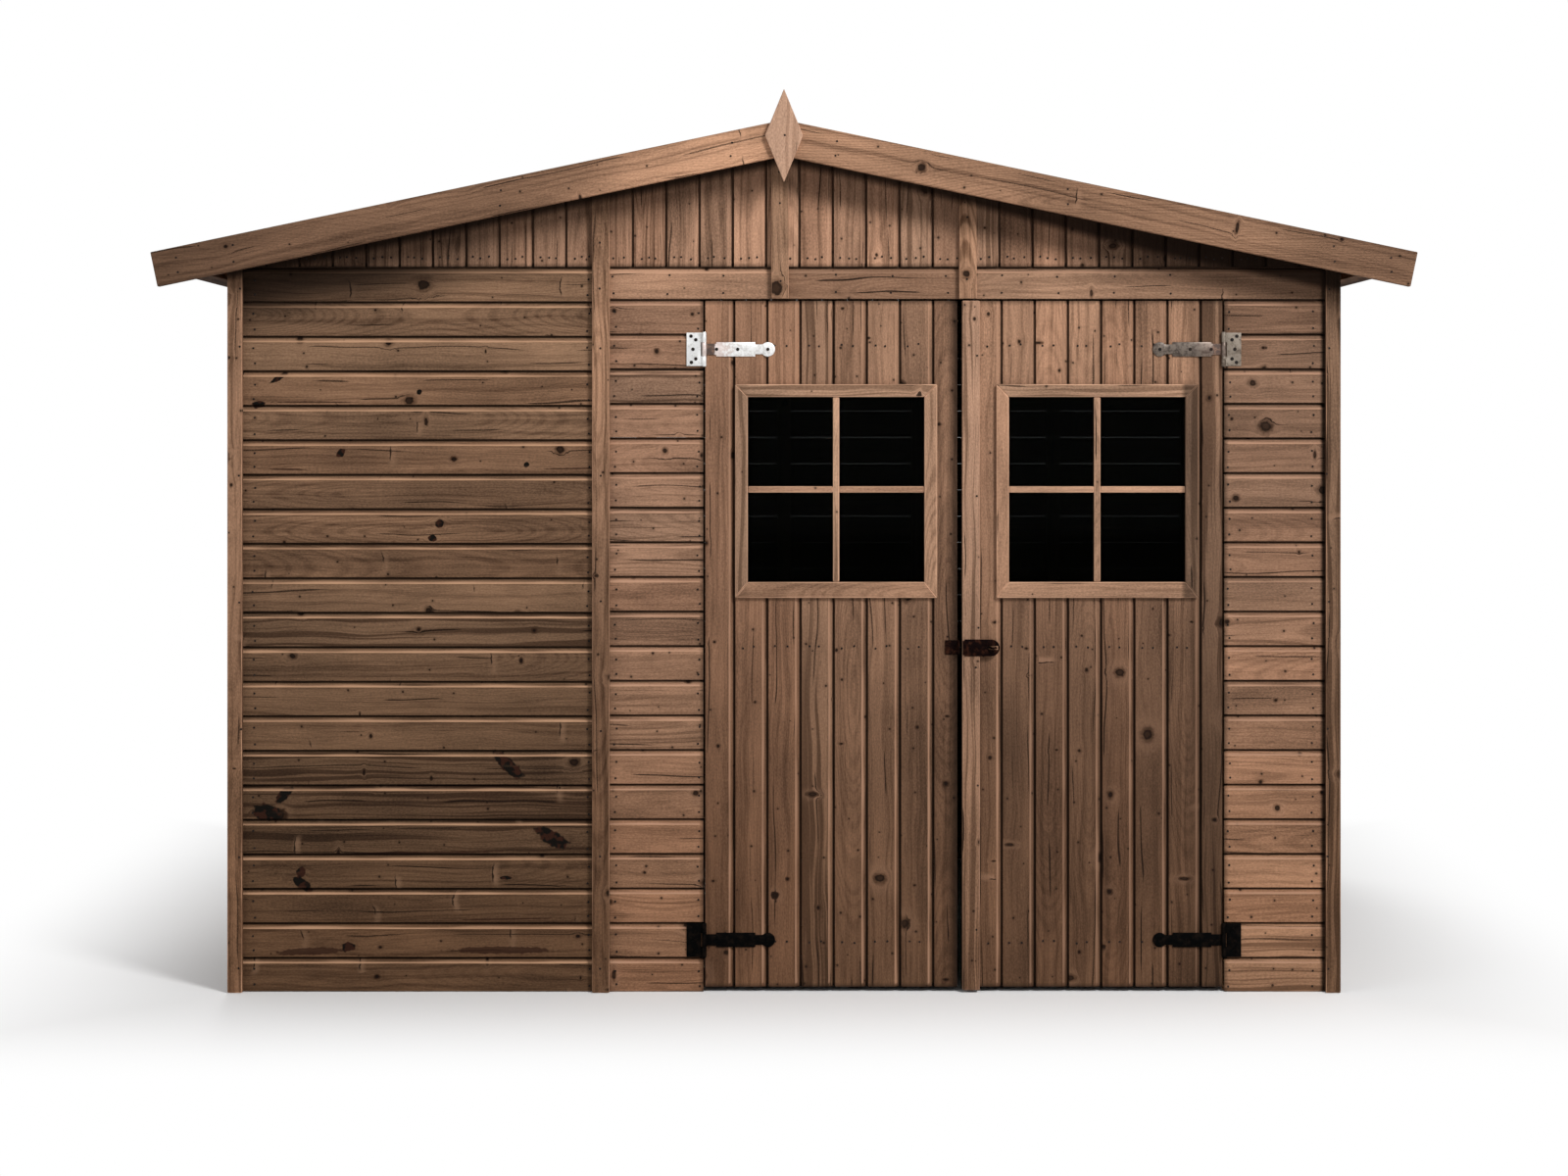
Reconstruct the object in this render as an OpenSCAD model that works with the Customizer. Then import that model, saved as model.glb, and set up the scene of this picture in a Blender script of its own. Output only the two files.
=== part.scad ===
// Garden shed: boarded walls on a stud frame, a low pitched roof with
// bargeboards and finials, and a pair of ledged doors on T-hinges.
// Millimetres. +Z is up, the doors face -Y, and the origin is the middle
// of the base.

/* [Walls] */
// Width over the side walls
wall_w = 2796; // [2200:4:3600]
// Depth over the front and back walls
wall_d = 2060; // [1500:4:3600]
// Height of the side walls
side_wall_h = 1866; // [1500:2:2400]
// Thickness of the wall boards
board_t = 14; // [10:1:22]
// Drop from the top of the side walls to the foot of the gables
gable_drop = 42; // [30:1:80]

/* [Frame] */
// Width of a stud or rail, along the wall
stud_w = 45; // [36:1:60]
// Depth of a stud or rail, through the wall
stud_d = 28; // [22:1:60]
// Largest distance between stud centres
stud_pitch = 520; // [400:10:700]

/* [Trim] */
// Width of a corner board
corner_w = 37; // [30:1:60]
// Width of a cover strip
strip_w = 44; // [30:1:60]
// Thickness of corner boards and cover strips
trim_t = 16; // [10:1:24]
// Distance from the doorway to the middle of the long cover strip
strip_from_door = 257; // [150:1:400]
// Sideways place of the middle gable strip
gable_strip_x = -10; // [-60:1:60]
// Distance from the middle gable strip to the right gable strip
gable_strip_pitch = 472; // [300:1:600]

/* [Doorway] */
// Distance from the doorway to the right wall's outer face
right_pier_w = 290; // [220:1:500]
// Height of the boards over the doorway
header_h = 81; // [60:1:140]
// Width of the left door
left_door_w = 634; // [500:1:800]
// Width of the right door
right_door_w = 655; // [500:1:800]
// Gap between a door and the frame
door_gap = 5; // [5:0.5:10]
// Gap between the two doors
meeting_gap = 12; // [9:0.5:16]
// Gap under the doors
floor_gap = 12; // [6:1:30]
// Height of a door ledge
ledge_h = 70; // [50:1:110]
// Thickness of a door ledge
ledge_t = 20; // [14:1:30]
// Distance from a door's edge to the end of its ledges
ledge_inset = 45; // [30:1:90]
// Distance from a door's end to the middle of its end ledge
ledge_from_end = 112; // [80:1:200]
// Width of the strip on the right door's free edge
meeting_strip_w = 44; // [30:1:60]
// Thickness of that strip
meeting_strip_t = 14; // [8:1:20]

/* [Windows] */
// Width of the glass opening
window_w = 444; // [300:1:520]
// Height of the glass opening
window_h = 465; // [300:1:600]
// Distance from the top of the door to the glass opening
window_from_top = 242; // [200:1:320]
// Distance from the door's middle to the window's, away from the left hinge
window_offset = 12; // [-20:1:20]
// Width of the trim beside and over the glass
window_trim_w = 32; // [24:1:45]
// Width of the trim under the glass
window_sill_w = 40; // [24:1:60]
// Thickness of the trim in front of the door
window_trim_t = 12; // [8:1:20]
// Thickness of the lining inside the door
lining_w = 8; // [6:1:14]
// Thickness of the glass
glass_t = 3; // [2:0.5:5]
// Depth to which the glass is let into the lining
glass_rebate = 4; // [2:0.5:5]

/* [Roof] */
// Roof pitch in degrees
pitch = 11.8; // [8:0.1:25]
// Roof overhang beyond the side walls
eave_overhang = 168; // [80:1:300]
// Roof overhang beyond the front and back walls
gable_overhang = 120; // [60:1:300]
// Thickness of the roof boards
deck_t = 16; // [12:1:22]
// Thickness of the roofing felt
felt_t = 3; // [2:0.5:5]
// Height of a bargeboard above the felt
felt_drop = 2; // [0:0.5:10]
// Depth of a bargeboard
barge_h = 87; // [70:1:140]
// Thickness of a bargeboard
barge_t = 18; // [12:1:28]
// Distance from a bargeboard's end to the edge of the roof
barge_lap = 16; // [5:1:40]
// Width of the ridge beam and the purlins
beam_w = 45; // [36:1:70]
// Height of the ridge beam
ridge_h = 60; // [45:1:120]
// Height of a purlin
purlin_h = 45; // [36:1:100]
// Width of the batten along each eave
eave_batten_w = 45; // [30:1:70]
// Depth of the batten along each eave
eave_batten_h = 28; // [24:1:45]
// Width of a finial
finial_w = 94; // [60:1:130]
// Height of a finial
finial_h = 230; // [150:1:300]
// Thickness of a finial
finial_t = 15; // [10:1:22]
// Drop from the ridge to the middle of a finial
finial_drop = 40; // [0:1:60]

/* [Ironmongery] */
// Drop from a door's top to its top hinge
top_hinge_drop = 122; // [80:1:180]
// Rise from a door's bottom to its bottom hinge
bottom_hinge_rise = 118; // [80:1:180]
// Height of a hinge plate
plate_h = 84; // [60:1:110]
// Width of a hinge plate
plate_w = 36; // [24:1:50]
// Thickness of hinge plates and straps
iron_t = 3; // [2:0.5:4]
// Length of a strap from the pin to its end
strap_l = 178; // [140:1:260]
// Height of a strap
strap_h = 36; // [28:1:44]
// Height of a strap's neck and knuckle
neck_h = 28; // [14:1:32]
// Radius of a hinge barrel
barrel_r = 5.5; // [5:0.1:6]
// Radius of a hinge pin
pin_r = 3; // [2:0.1:3.5]
// Radial clearance of a pin in its strap
pin_clear = 0.06; // [0.02:0.01:0.1]
// Distance from the boards' face to a pin's axis
pin_out = 7; // [6.5:0.1:9]
// Height of the hasp above the door's bottom
hasp_rise = 854; // [700:1:1000]
// Height of the hasp's hinge plate
hasp_plate_h = 36; // [24:1:50]
// Length of the hasp's hinge plate on the left door
hasp_plate_l = 31; // [24:1:60]
// Height of the hasp's flap
hasp_flap_h = 42; // [30:1:56]
// Length of the hasp's flap from its knuckle
hasp_flap_l = 88; // [70:1:120]
// Radius of the staple's wire
staple_r = 2.2; // [1.5:0.1:3]

/* [Hidden] */

// Clearance where one piece is seated on another at a slope or in a slot
seat = 0.3;
// Gap that keeps the pieces of one node apart
split = 0.5;
// Facets of a full circle
round_fn = 48;

// Wall faces and frame lines
half_w = wall_w / 2;
half_d = wall_d / 2;
face_in = half_d - board_t;
frame_x = half_w - board_t - stud_d;
frame_y = half_d - board_t - stud_d;
gable_z = side_wall_h - gable_drop;

// Doorway and doors
opening_x1 = half_w - right_pier_w;
right_door_x1 = opening_x1 - door_gap;
right_door_x0 = right_door_x1 - right_door_w;
left_door_x1 = right_door_x0 - meeting_gap;
left_door_x0 = left_door_x1 - left_door_w;
opening_x0 = left_door_x0 - door_gap;
opening_z = gable_z - header_h;
door_z0 = floor_gap;
door_z1 = opening_z - door_gap;
front_strip_x = opening_x0 - strip_from_door;

// Windows
window_z1 = door_z1 - window_from_top;
window_z0 = window_z1 - window_h;
left_window_x = (left_door_x0 + left_door_x1) / 2 + window_offset;
right_window_x = (right_door_x0 + right_door_x1) / 2 + window_offset;

// Roof lines: depths are measured square to the slope from its top
deck_depth = felt_drop + felt_t;
roof_t = deck_depth + deck_t;
roof_x = half_w + eave_overhang;
ridge_z = side_wall_h + half_w * tan(pitch) + roof_t / cos(pitch);
slope_l = roof_x / cos(pitch);
roof_y = half_d + gable_overhang - barge_t;
barge_y = half_d + gable_overhang;
purlin_x = half_w / 2;
ridge_beam_z1 = under_roof(beam_w / 2);
ridge_beam_z0 = ridge_beam_z1 - ridge_h;
purlin_z0 = under_roof(purlin_x + beam_w / 2) - purlin_h;

// Hinges and hasp
left_pin_x = opening_x0 + door_gap / 2;
right_pin_x = opening_x1 - door_gap / 2;
top_hinge_z = door_z1 - top_hinge_drop;
bottom_hinge_z = door_z0 + bottom_hinge_rise;
hasp_z = door_z0 + hasp_rise;
middle_knuckle_h = 34;
strap_neck_l = 30;
strap_waist_l = 14;
pin_head_r = 4.3;
pin_head_h = 1.5;
hasp_knuckle_r = 4.5;
slot_l = 24;
slot_h = 10;
staple_pitch = 13;
staple_out = 10;

// Height of the underside of the roof at a distance x from the middle
function under_roof(x) =
  ridge_z - abs(x) * tan(pitch) - roof_t / cos(pitch) - seat;

// A point l down the slope from the ridge and b below its surface
function on_slope(l, b) =
  [l * cos(pitch) - b * sin(pitch), ridge_z - l * sin(pitch) - b * cos(pitch)];

// Evenly spaced stud centres that fill a run between two end centres
function stud_centres(a, b) =
  let (bays = ceil((b - a) / stud_pitch))
  [for (i = [0 : bays]) a + i * (b - a) / bays];

module block(lo, hi) {
  translate(lo) cube(hi - lo);
}

// Extrudes an outline drawn in X and Z along Y, from y0 to y1
module along_y(y0, y1) {
  translate([0, y1, 0]) rotate([90, 0, 0]) linear_extrude(y1 - y0) children();
}

module on_both_sides() {
  children();
  mirror([1, 0, 0]) children();
}

// ---- walls ----

module front_slab(x0, x1, z0, z1) {
  block([x0, -half_d, z0], [x1, -face_in, z1]);
}

// Passages of the ridge beam and the purlins through a gable
module beam_notches(y0, y1) {
  top = ridge_z + seat;
  block([-beam_w / 2 - seat, y0 - 1, ridge_beam_z0 - seat],
        [beam_w / 2 + seat, y1 + 1, top]);
  on_both_sides()
    block([purlin_x - beam_w / 2 - seat, y0 - 1, purlin_z0 - seat],
          [purlin_x + beam_w / 2 + seat, y1 + 1, top]);
}

module gable_outline(z0) {
  edge = half_w - board_t;
  polygon([[-edge, z0], [edge, z0], [edge, under_roof(edge)],
           [0, under_roof(0)], [-edge, under_roof(edge)]]);
}

module gable_wall(y0, y1, z0) {
  difference() {
    along_y(y0, y1) gable_outline(z0);
    beam_notches(y0, y1);
  }
}

module front_left_panel() {
  color("saddlebrown")
    front_slab(-half_w + board_t, front_strip_x, 0, gable_z);
}

module boards_left_of_door() {
  color("sienna") front_slab(front_strip_x, opening_x0, 0, opening_z);
}

module boards_right_of_door() {
  color("peru") front_slab(opening_x1, half_w - board_t, 0, opening_z);
}

module header_boards() {
  color("sienna")
    front_slab(front_strip_x, half_w - board_t, opening_z, gable_z);
}

module front_gable_boards() {
  color("saddlebrown") gable_wall(-half_d, -face_in, gable_z);
}

// A strip on the front whose top follows the underside of the roof
module sloped_strip(x, z0) {
  x0 = x - strip_w / 2;
  x1 = x + strip_w / 2;
  along_y(-half_d - trim_t, -half_d)
    polygon([[x0, z0], [x1, z0], [x1, under_roof(x1)], [x0, under_roof(x0)]]);
}

module front_cover_strips() {
  color("sienna") {
    sloped_strip(front_strip_x, 0);
    sloped_strip(gable_strip_x + gable_strip_pitch, opening_z);
    block([gable_strip_x - strip_w / 2, -half_d - trim_t, opening_z],
          [gable_strip_x + strip_w / 2, -half_d, ridge_beam_z0 - seat]);
  }
}

module corner_boards() {
  color("peru")
    for (side = [-1, 1], end = [-1, 1])
      scale([side, end, 1])
        block([half_w - corner_w, half_d, 0],
              [half_w, half_d + trim_t, side_wall_h - seat]);
}

module side_wall() {
  block([half_w - board_t, -half_d, 0], [half_w, half_d, side_wall_h - seat]);
}

module left_wall_boards() {
  color("saddlebrown") mirror([1, 0, 0]) side_wall();
}

module right_wall_boards() {
  color("saddlebrown") side_wall();
}

module back_wall_boards() {
  color("saddlebrown") gable_wall(face_in, half_d, 0);
}

module side_cover_strips() {
  color("sienna")
    on_both_sides()
      block([half_w, -strip_w / 2, 0],
            [half_w + trim_t, strip_w / 2, under_roof(half_w + trim_t)]);
}

module back_cover_strips() {
  color("sienna")
    on_both_sides()
      block([half_w / 3 - strip_w / 2, half_d, 0],
            [half_w / 3 + strip_w / 2, half_d + trim_t,
             under_roof(half_w / 3 + strip_w / 2)]);
}

// ---- frame ----

// A stud in the front wall's frame, centred at x
module front_stud(x, z0, z1) {
  block([x - stud_w / 2, -face_in, z0], [x + stud_w / 2, -frame_y, z1]);
}

// Posts over the top rail that carry the ridge beam and the purlins
module gable_posts() {
  front_stud(0, gable_z, ridge_beam_z0);
  on_both_sides() front_stud(purlin_x, gable_z, purlin_z0);
}

module front_studs() {
  corner = frame_x - split - stud_w / 2;
  color("burlywood") {
    for (x = concat(stud_centres(-corner, front_strip_x),
                    [opening_x0 - stud_w / 2, opening_x1 + stud_w / 2, corner]))
      front_stud(x, stud_w, gable_z - stud_w);
    gable_posts();
  }
}

module back_studs() {
  corner = frame_x - split - stud_w / 2;
  color("burlywood")
    mirror([0, 1, 0]) {
      for (x = stud_centres(-corner, corner))
        front_stud(x, stud_w, gable_z - stud_w);
      gable_posts();
    }
}

module side_studs() {
  corner = face_in - stud_w / 2;
  color("burlywood")
    on_both_sides()
      for (y = stud_centres(-corner, corner))
        block([frame_x, y - stud_w / 2, stud_w],
              [frame_x + stud_d, y + stud_w / 2, side_wall_h - stud_w]);
}

module front_rail(x0, x1, z0) {
  block([x0, -face_in, z0], [x1, -frame_y, z0 + stud_w]);
}

module wall_rails() {
  end = frame_x - split;
  color("burlywood") {
    front_rail(-end, opening_x0, 0);
    front_rail(opening_x1, end, 0);
    mirror([0, 1, 0]) front_rail(-end, end, 0);
    for (back = [0, 1])
      mirror([0, back, 0]) front_rail(-end, end, gable_z - stud_w);
    on_both_sides()
      for (z = [0, side_wall_h - stud_w])
        block([frame_x, -face_in, z],
              [frame_x + stud_d, face_in, z + stud_w - (z > 0 ? seat : 0)]);
  }
}

// ---- roof ----

// A slab along one slope, from the ridge down to l and between two depths
module slope_slab(l, b0, b1, y0, y1) {
  along_y(y0, y1)
    polygon([[0, ridge_z - b0 / cos(pitch)], on_slope(l, b0),
             on_slope(l, b1), [0, ridge_z - b1 / cos(pitch)]]);
}

module ridge_beam() {
  color("burlywood")
    block([-beam_w / 2, -roof_y, ridge_beam_z0],
          [beam_w / 2, roof_y, ridge_beam_z1]);
}

module purlins() {
  x0 = purlin_x - beam_w / 2;
  x1 = purlin_x + beam_w / 2;
  color("burlywood")
    on_both_sides()
      along_y(-roof_y, roof_y)
        polygon([[x0, purlin_z0], [x1, purlin_z0],
                 [x1, under_roof(x1)], [x0, under_roof(x0)]]);
}

module roof_half() {
  slope_slab(slope_l - barge_lap, deck_depth, roof_t, -roof_y, roof_y);
}

module left_roof_boards() {
  color("tan") mirror([1, 0, 0]) roof_half();
}

module right_roof_boards() {
  color("tan") roof_half();
}

module felt_half() {
  slope_slab(slope_l - barge_lap, felt_drop, deck_depth, -roof_y, roof_y);
}

module left_felt() {
  color("dimgray") mirror([1, 0, 0]) felt_half();
}

module right_felt() {
  color("dimgray") felt_half();
}

module eaves_battens() {
  l1 = slope_l - barge_lap;
  l0 = l1 - eave_batten_w;
  color("sienna")
    on_both_sides()
      along_y(-roof_y, roof_y)
        polygon([on_slope(l0, roof_t), on_slope(l1, roof_t),
                 on_slope(l1, roof_t + eave_batten_h),
                 on_slope(l0, roof_t + eave_batten_h)]);
}

module bargeboard() {
  slope_slab(slope_l, 0, barge_h, -barge_y, -roof_y);
}

module front_left_bargeboard() {
  color("sienna") mirror([1, 0, 0]) bargeboard();
}

module front_right_bargeboard() {
  color("sienna") bargeboard();
}

module rear_bargeboards() {
  color("sienna")
    mirror([0, 1, 0])
      on_both_sides()
        difference() {
          bargeboard();
          block([-split, -barge_y - 1, 0], [split / 2, -roof_y + 1, ridge_z + 1]);
        }
}

module finial() {
  middle_z = ridge_z - finial_drop;
  along_y(-barge_y - finial_t, -barge_y)
    polygon([[0, middle_z - finial_h / 2], [finial_w / 2, middle_z],
             [0, middle_z + finial_h / 2], [-finial_w / 2, middle_z]]);
}

module front_finial() {
  color("peru") finial();
}

module rear_finial() {
  color("peru") mirror([0, 1, 0]) finial();
}

// ---- hinges ----
// Drawn about the pin's axis at the origin, with the boards' face at
// y = pin_out, the plate towards -X and the strap towards +X.

module hinge_plate() {
  knuckle_h = (plate_h - middle_knuckle_h) / 2 - split;
  root_x = -barrel_r - 3;
  block([root_x - plate_w, pin_out - iron_t, -plate_h / 2],
        [root_x, pin_out, plate_h / 2]);
  for (end = [-1, 1])
    scale([1, 1, end]) {
      z0 = plate_h / 2 - knuckle_h;
      block([root_x, pin_out - iron_t, z0], [-1, pin_out, plate_h / 2]);
      translate([0, 0, z0]) cylinder(h = knuckle_h, r = barrel_r, $fn = round_fn);
      translate([0, 0, plate_h / 2])
        cylinder(h = pin_head_h, r = pin_head_r, $fn = round_fn);
    }
  translate([0, 0, -plate_h / 2]) cylinder(h = plate_h, r = pin_r, $fn = round_fn);
}

module hinge_strap() {
  end_r = strap_h / 2;
  waist_x = strap_l - 2 * end_r - strap_waist_l;
  waist_r = end_r * 0.68;
  y0 = pin_out - iron_t;
  difference() {
    union() {
      translate([0, 0, -middle_knuckle_h / 2])
        cylinder(h = middle_knuckle_h, r = barrel_r, $fn = round_fn);
      block([1, y0, -neck_h / 2], [strap_neck_l + 1, pin_out, neck_h / 2]);
      block([strap_neck_l, y0, -end_r], [waist_x, pin_out, end_r]);
      block([waist_x - 1, y0, -waist_r], [strap_l - end_r, pin_out, waist_r]);
      translate([strap_l - end_r, pin_out, 0]) rotate([90, 0, 0])
        cylinder(h = iron_t, r = end_r, $fn = round_fn);
    }
    translate([0, 0, -middle_knuckle_h / 2 - 1])
      cylinder(h = middle_knuckle_h + 2, r = pin_r + pin_clear, $fn = round_fn);
  }
}

module at_left_hinge(z) {
  translate([left_pin_x, -half_d - pin_out, z]) children();
}

module at_right_hinge(z) {
  translate([right_pin_x, -half_d - pin_out, z]) mirror([1, 0, 0]) children();
}

module top_hinge_plates() {
  color("silver") {
    at_left_hinge(top_hinge_z) hinge_plate();
    at_right_hinge(top_hinge_z) hinge_plate();
  }
}

module bottom_hinge_plates() {
  color("black") {
    at_left_hinge(bottom_hinge_z) hinge_plate();
    at_right_hinge(bottom_hinge_z) hinge_plate();
  }
}

module left_top_strap() {
  color("silver") at_left_hinge(top_hinge_z) hinge_strap();
}

module left_bottom_strap() {
  color("black") at_left_hinge(bottom_hinge_z) hinge_strap();
}

module right_top_strap() {
  color("silver") at_right_hinge(top_hinge_z) hinge_strap();
}

module right_bottom_strap() {
  color("black") at_right_hinge(bottom_hinge_z) hinge_strap();
}

// ---- doors ----

// A box around the glass opening, larger by the given margins
module window_block(x, side, below, above, y0, y1) {
  block([x - window_w / 2 - side, y0, window_z0 - below],
        [x + window_w / 2 + side, y1, window_z1 + above]);
}

module door_boards(x0, x1, window_x) {
  hole = lining_w + seat;
  difference() {
    block([x0, -half_d, door_z0], [x1, -face_in, door_z1]);
    window_block(window_x, hole, hole, hole, -half_d - 1, -face_in + 1);
  }
}

module door_ledges(x0, x1) {
  for (z = [door_z0 + ledge_from_end, hasp_z, door_z1 - ledge_from_end])
    block([x0 + ledge_inset, -face_in, z - ledge_h / 2],
          [x1 - ledge_inset, -face_in + ledge_t, z + ledge_h / 2]);
}

// Glass lies in a groove of the lining, midway through the boards
module glass_block(x, clearance) {
  depth = glass_rebate - clearance;
  glass_y = -half_d + board_t / 2 - glass_t / 2;
  window_block(x, depth, depth, depth,
               glass_y - seat + clearance, glass_y + glass_t + seat - clearance);
}

module window_frame(x) {
  difference() {
    union() {
      window_block(x, window_trim_w, window_sill_w, window_trim_w,
                   -half_d - window_trim_t, -half_d);
      window_block(x, lining_w, lining_w, lining_w, -half_d - 1, -face_in);
    }
    window_block(x, 0, 0, 0, -half_d - window_trim_t - 1, -face_in + 1);
    glass_block(x, 0);
  }
}

module left_door_boards() {
  color("sienna") door_boards(left_door_x0, left_door_x1, left_window_x);
}

module right_door_boards() {
  color("peru") door_boards(right_door_x0, right_door_x1, right_window_x);
}

module left_door_ledges() {
  color("burlywood") door_ledges(left_door_x0, left_door_x1);
}

module right_door_ledges() {
  color("burlywood") door_ledges(right_door_x0, right_door_x1);
}

module left_window_frame() {
  color("sienna") window_frame(left_window_x);
}

module right_window_frame() {
  color("peru") window_frame(right_window_x);
}

module left_window_glass() {
  color("darkslategray") glass_block(left_window_x, seat);
}

module right_window_glass() {
  color("darkslategray") glass_block(right_window_x, seat);
}

module right_meeting_strip() {
  color("peru")
    block([right_door_x0, -half_d - meeting_strip_t, floor_gap / 2],
          [right_door_x0 + meeting_strip_w, -half_d, door_z1]);
}

// ---- hasp ----

// Leaf on the left door, turned forward to the line of the knuckle
module hasp_plate() {
  tip_x = left_door_x1 + meeting_gap / 2 - 1;
  z0 = hasp_z - hasp_plate_h / 2;
  z1 = hasp_z + hasp_plate_h / 2;
  color("dimgray") {
    block([left_door_x1 - hasp_plate_l, -half_d - iron_t, z0],
          [tip_x, -half_d, z1]);
    block([tip_x - iron_t, -half_d - meeting_strip_t - iron_t, z0],
          [tip_x, -half_d, z1]);
  }
}

module staple(x) {
  loop_r = staple_pitch / 2;
  out_y = -half_d - meeting_strip_t - staple_out;
  for (side = [-1, 1])
    translate([x + side * loop_r, -half_d, hasp_z]) rotate([90, 0, 0])
      cylinder(h = -half_d - out_y, r = staple_r, $fn = round_fn);
  translate([x, out_y, hasp_z]) rotate([0, 0, 180])
    rotate_extrude(angle = 180, $fn = round_fn)
      translate([loop_r, 0]) circle(r = staple_r, $fn = round_fn);
}

module hasp_flap() {
  flap_y = -half_d - meeting_strip_t;
  end_r = hasp_flap_h / 2;
  knuckle_x = right_door_x0 + hasp_knuckle_r + 1;
  end_x = knuckle_x + hasp_flap_l - end_r;
  staple_x = end_x + staple_r + 3;
  color("dimgray") {
    difference() {
      union() {
        translate([knuckle_x, flap_y - hasp_knuckle_r, hasp_z - hasp_plate_h / 2])
          cylinder(h = hasp_plate_h, r = hasp_knuckle_r, $fn = round_fn);
        block([knuckle_x, flap_y - iron_t, hasp_z - end_r], [end_x, flap_y, hasp_z + end_r]);
        translate([end_x, flap_y, hasp_z]) rotate([90, 0, 0])
          cylinder(h = iron_t, r = end_r, $fn = round_fn);
      }
      block([staple_x - slot_l / 2, flap_y - iron_t - 1, hasp_z - slot_h / 2],
            [staple_x + slot_l / 2, flap_y + 1, hasp_z + slot_h / 2]);
    }
    staple(staple_x);
  }
}

front_left_panel();
boards_left_of_door();
boards_right_of_door();
header_boards();
front_gable_boards();
front_cover_strips();
corner_boards();
left_wall_boards();
right_wall_boards();
back_wall_boards();
side_cover_strips();
back_cover_strips();
front_studs();
side_studs();
back_studs();
wall_rails();
ridge_beam();
purlins();
left_roof_boards();
right_roof_boards();
left_felt();
right_felt();
eaves_battens();
front_left_bargeboard();
front_right_bargeboard();
rear_bargeboards();
front_finial();
rear_finial();
top_hinge_plates();
bottom_hinge_plates();
left_door_boards();
left_door_ledges();
left_window_frame();
left_window_glass();
left_top_strap();
left_bottom_strap();
hasp_plate();
right_door_boards();
right_meeting_strip();
right_door_ledges();
right_window_frame();
right_window_glass();
right_top_strap();
right_bottom_strap();
hasp_flap();
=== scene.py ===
"""A boarded garden shed with a pair of ledged doors: its finishes, its single
boards and its small fittings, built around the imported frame. Metres, +Z up,
the doors face -Y."""
import math
import random

import bpy
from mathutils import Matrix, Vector, noise


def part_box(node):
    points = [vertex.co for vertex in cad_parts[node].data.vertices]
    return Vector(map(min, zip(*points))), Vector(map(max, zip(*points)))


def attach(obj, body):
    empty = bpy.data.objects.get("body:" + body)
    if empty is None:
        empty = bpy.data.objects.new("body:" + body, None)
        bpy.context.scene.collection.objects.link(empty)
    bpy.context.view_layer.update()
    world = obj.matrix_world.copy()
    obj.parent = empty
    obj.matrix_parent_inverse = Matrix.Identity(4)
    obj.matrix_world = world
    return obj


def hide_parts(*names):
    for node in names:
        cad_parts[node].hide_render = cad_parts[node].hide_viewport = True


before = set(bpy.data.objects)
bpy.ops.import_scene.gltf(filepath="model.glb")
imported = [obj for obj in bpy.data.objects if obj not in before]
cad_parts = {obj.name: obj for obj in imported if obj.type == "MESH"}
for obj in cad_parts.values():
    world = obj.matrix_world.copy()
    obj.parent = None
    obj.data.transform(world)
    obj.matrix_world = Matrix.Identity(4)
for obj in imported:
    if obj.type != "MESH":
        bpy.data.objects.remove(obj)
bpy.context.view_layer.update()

# ---- sizes ----

TINY = 1e-5
BOARD_T = 0.014          # thickness of a wall board
ROW = 0.0869             # cover of a horizontal board
PANEL_ROWS = 21          # boards in the left panel and up the back
SHORT_ROWS = 20          # boards beside the doors
JOINT = 0.0004           # gap between neighbouring boards, tongue to foot
COVE_H = 0.0115          # height of a board's scooped edge
COVE_D = 0.0055          # depth of that scoop
GROOVE = 0.0042          # open shadow line between two boards
END_DIRT_AND_SHADE = 0.011        # how far dirt and painted shade creep along a board from its ends
TONGUE_Y = 0.0095        # depth of the tongue behind that line
SLACK = 0.0011           # how far a board may stand back from its neighbours
GABLE_BOARDS = 33        # upright boards across a gable
DOOR_BOARD = 0.0835      # cover of a door board
FIRST_EDGE = {"left": -0.1225, "right": 0.5510}    # X of one joint of each door's boards
HEADER_JOINTS = (-0.010, 0.462)                    # X of the joints over the doors
EDGE = 0.0012            # rounding of sawn edges
TRIM_EDGE = 0.0025       # rounding of planed strips
NAIL_R = 0.0027          # radius of a nail's head
STRIP_T = 0.016          # thickness of the cover strips
MEETING_T = 0.014        # thickness of the strip on the right door
IRON_T = 0.003           # thickness of hinge plates and straps
PIN_IN = 0.0055          # from the end of a strap to its pin
BAR_W = 0.016            # width of a window bar
ROOF_BOARD = 0.0906      # cover of a roof board
ROOF_BOARD_T = 0.016     # thickness of a roof board
FELT_T = 0.0019          # thickness of the roofing felt
FINIAL_SINK = 0.001      # room for the finial's nail inside the real depth
PITCH = math.radians(11.8)
SLOPE = math.tan(PITCH)

half_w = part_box("right_wall_boards")[1].x
half_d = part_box("right_wall_boards")[1].y
face_y = -half_d


# ---- modelling helpers ----

def activate(obj):
    """Leaves only this object selected, and active."""
    bpy.ops.object.select_all(action="DESELECT")
    obj.select_set(True)
    bpy.context.view_layer.objects.active = obj


def settle(obj):
    """Puts an object's place, turn and size into its mesh."""
    activate(obj)
    bpy.ops.object.transform_apply(location=True, rotation=True, scale=True)
    return obj


def turned(obj, x=0.0, y=0.0, z=0.0, at=(0, 0, 0)):
    """Turns an object about the axes, in radians, then moves it."""
    obj.rotation_euler = (x, y, z)
    obj.location = at
    return settle(obj)


def new_block(name, low, high):
    """A box between two corners."""
    low, high = Vector(low), Vector(high)
    bpy.ops.object.select_all(action="DESELECT")
    bpy.ops.mesh.primitive_cube_add(size=1, location=(low + high) / 2, scale=high - low)
    obj = bpy.context.object
    obj.name = name
    return settle(obj)


def edit_all(obj):
    """Opens the whole mesh for editing."""
    activate(obj)
    bpy.ops.object.mode_set(mode="EDIT")
    bpy.ops.mesh.select_all(action="SELECT")


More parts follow.
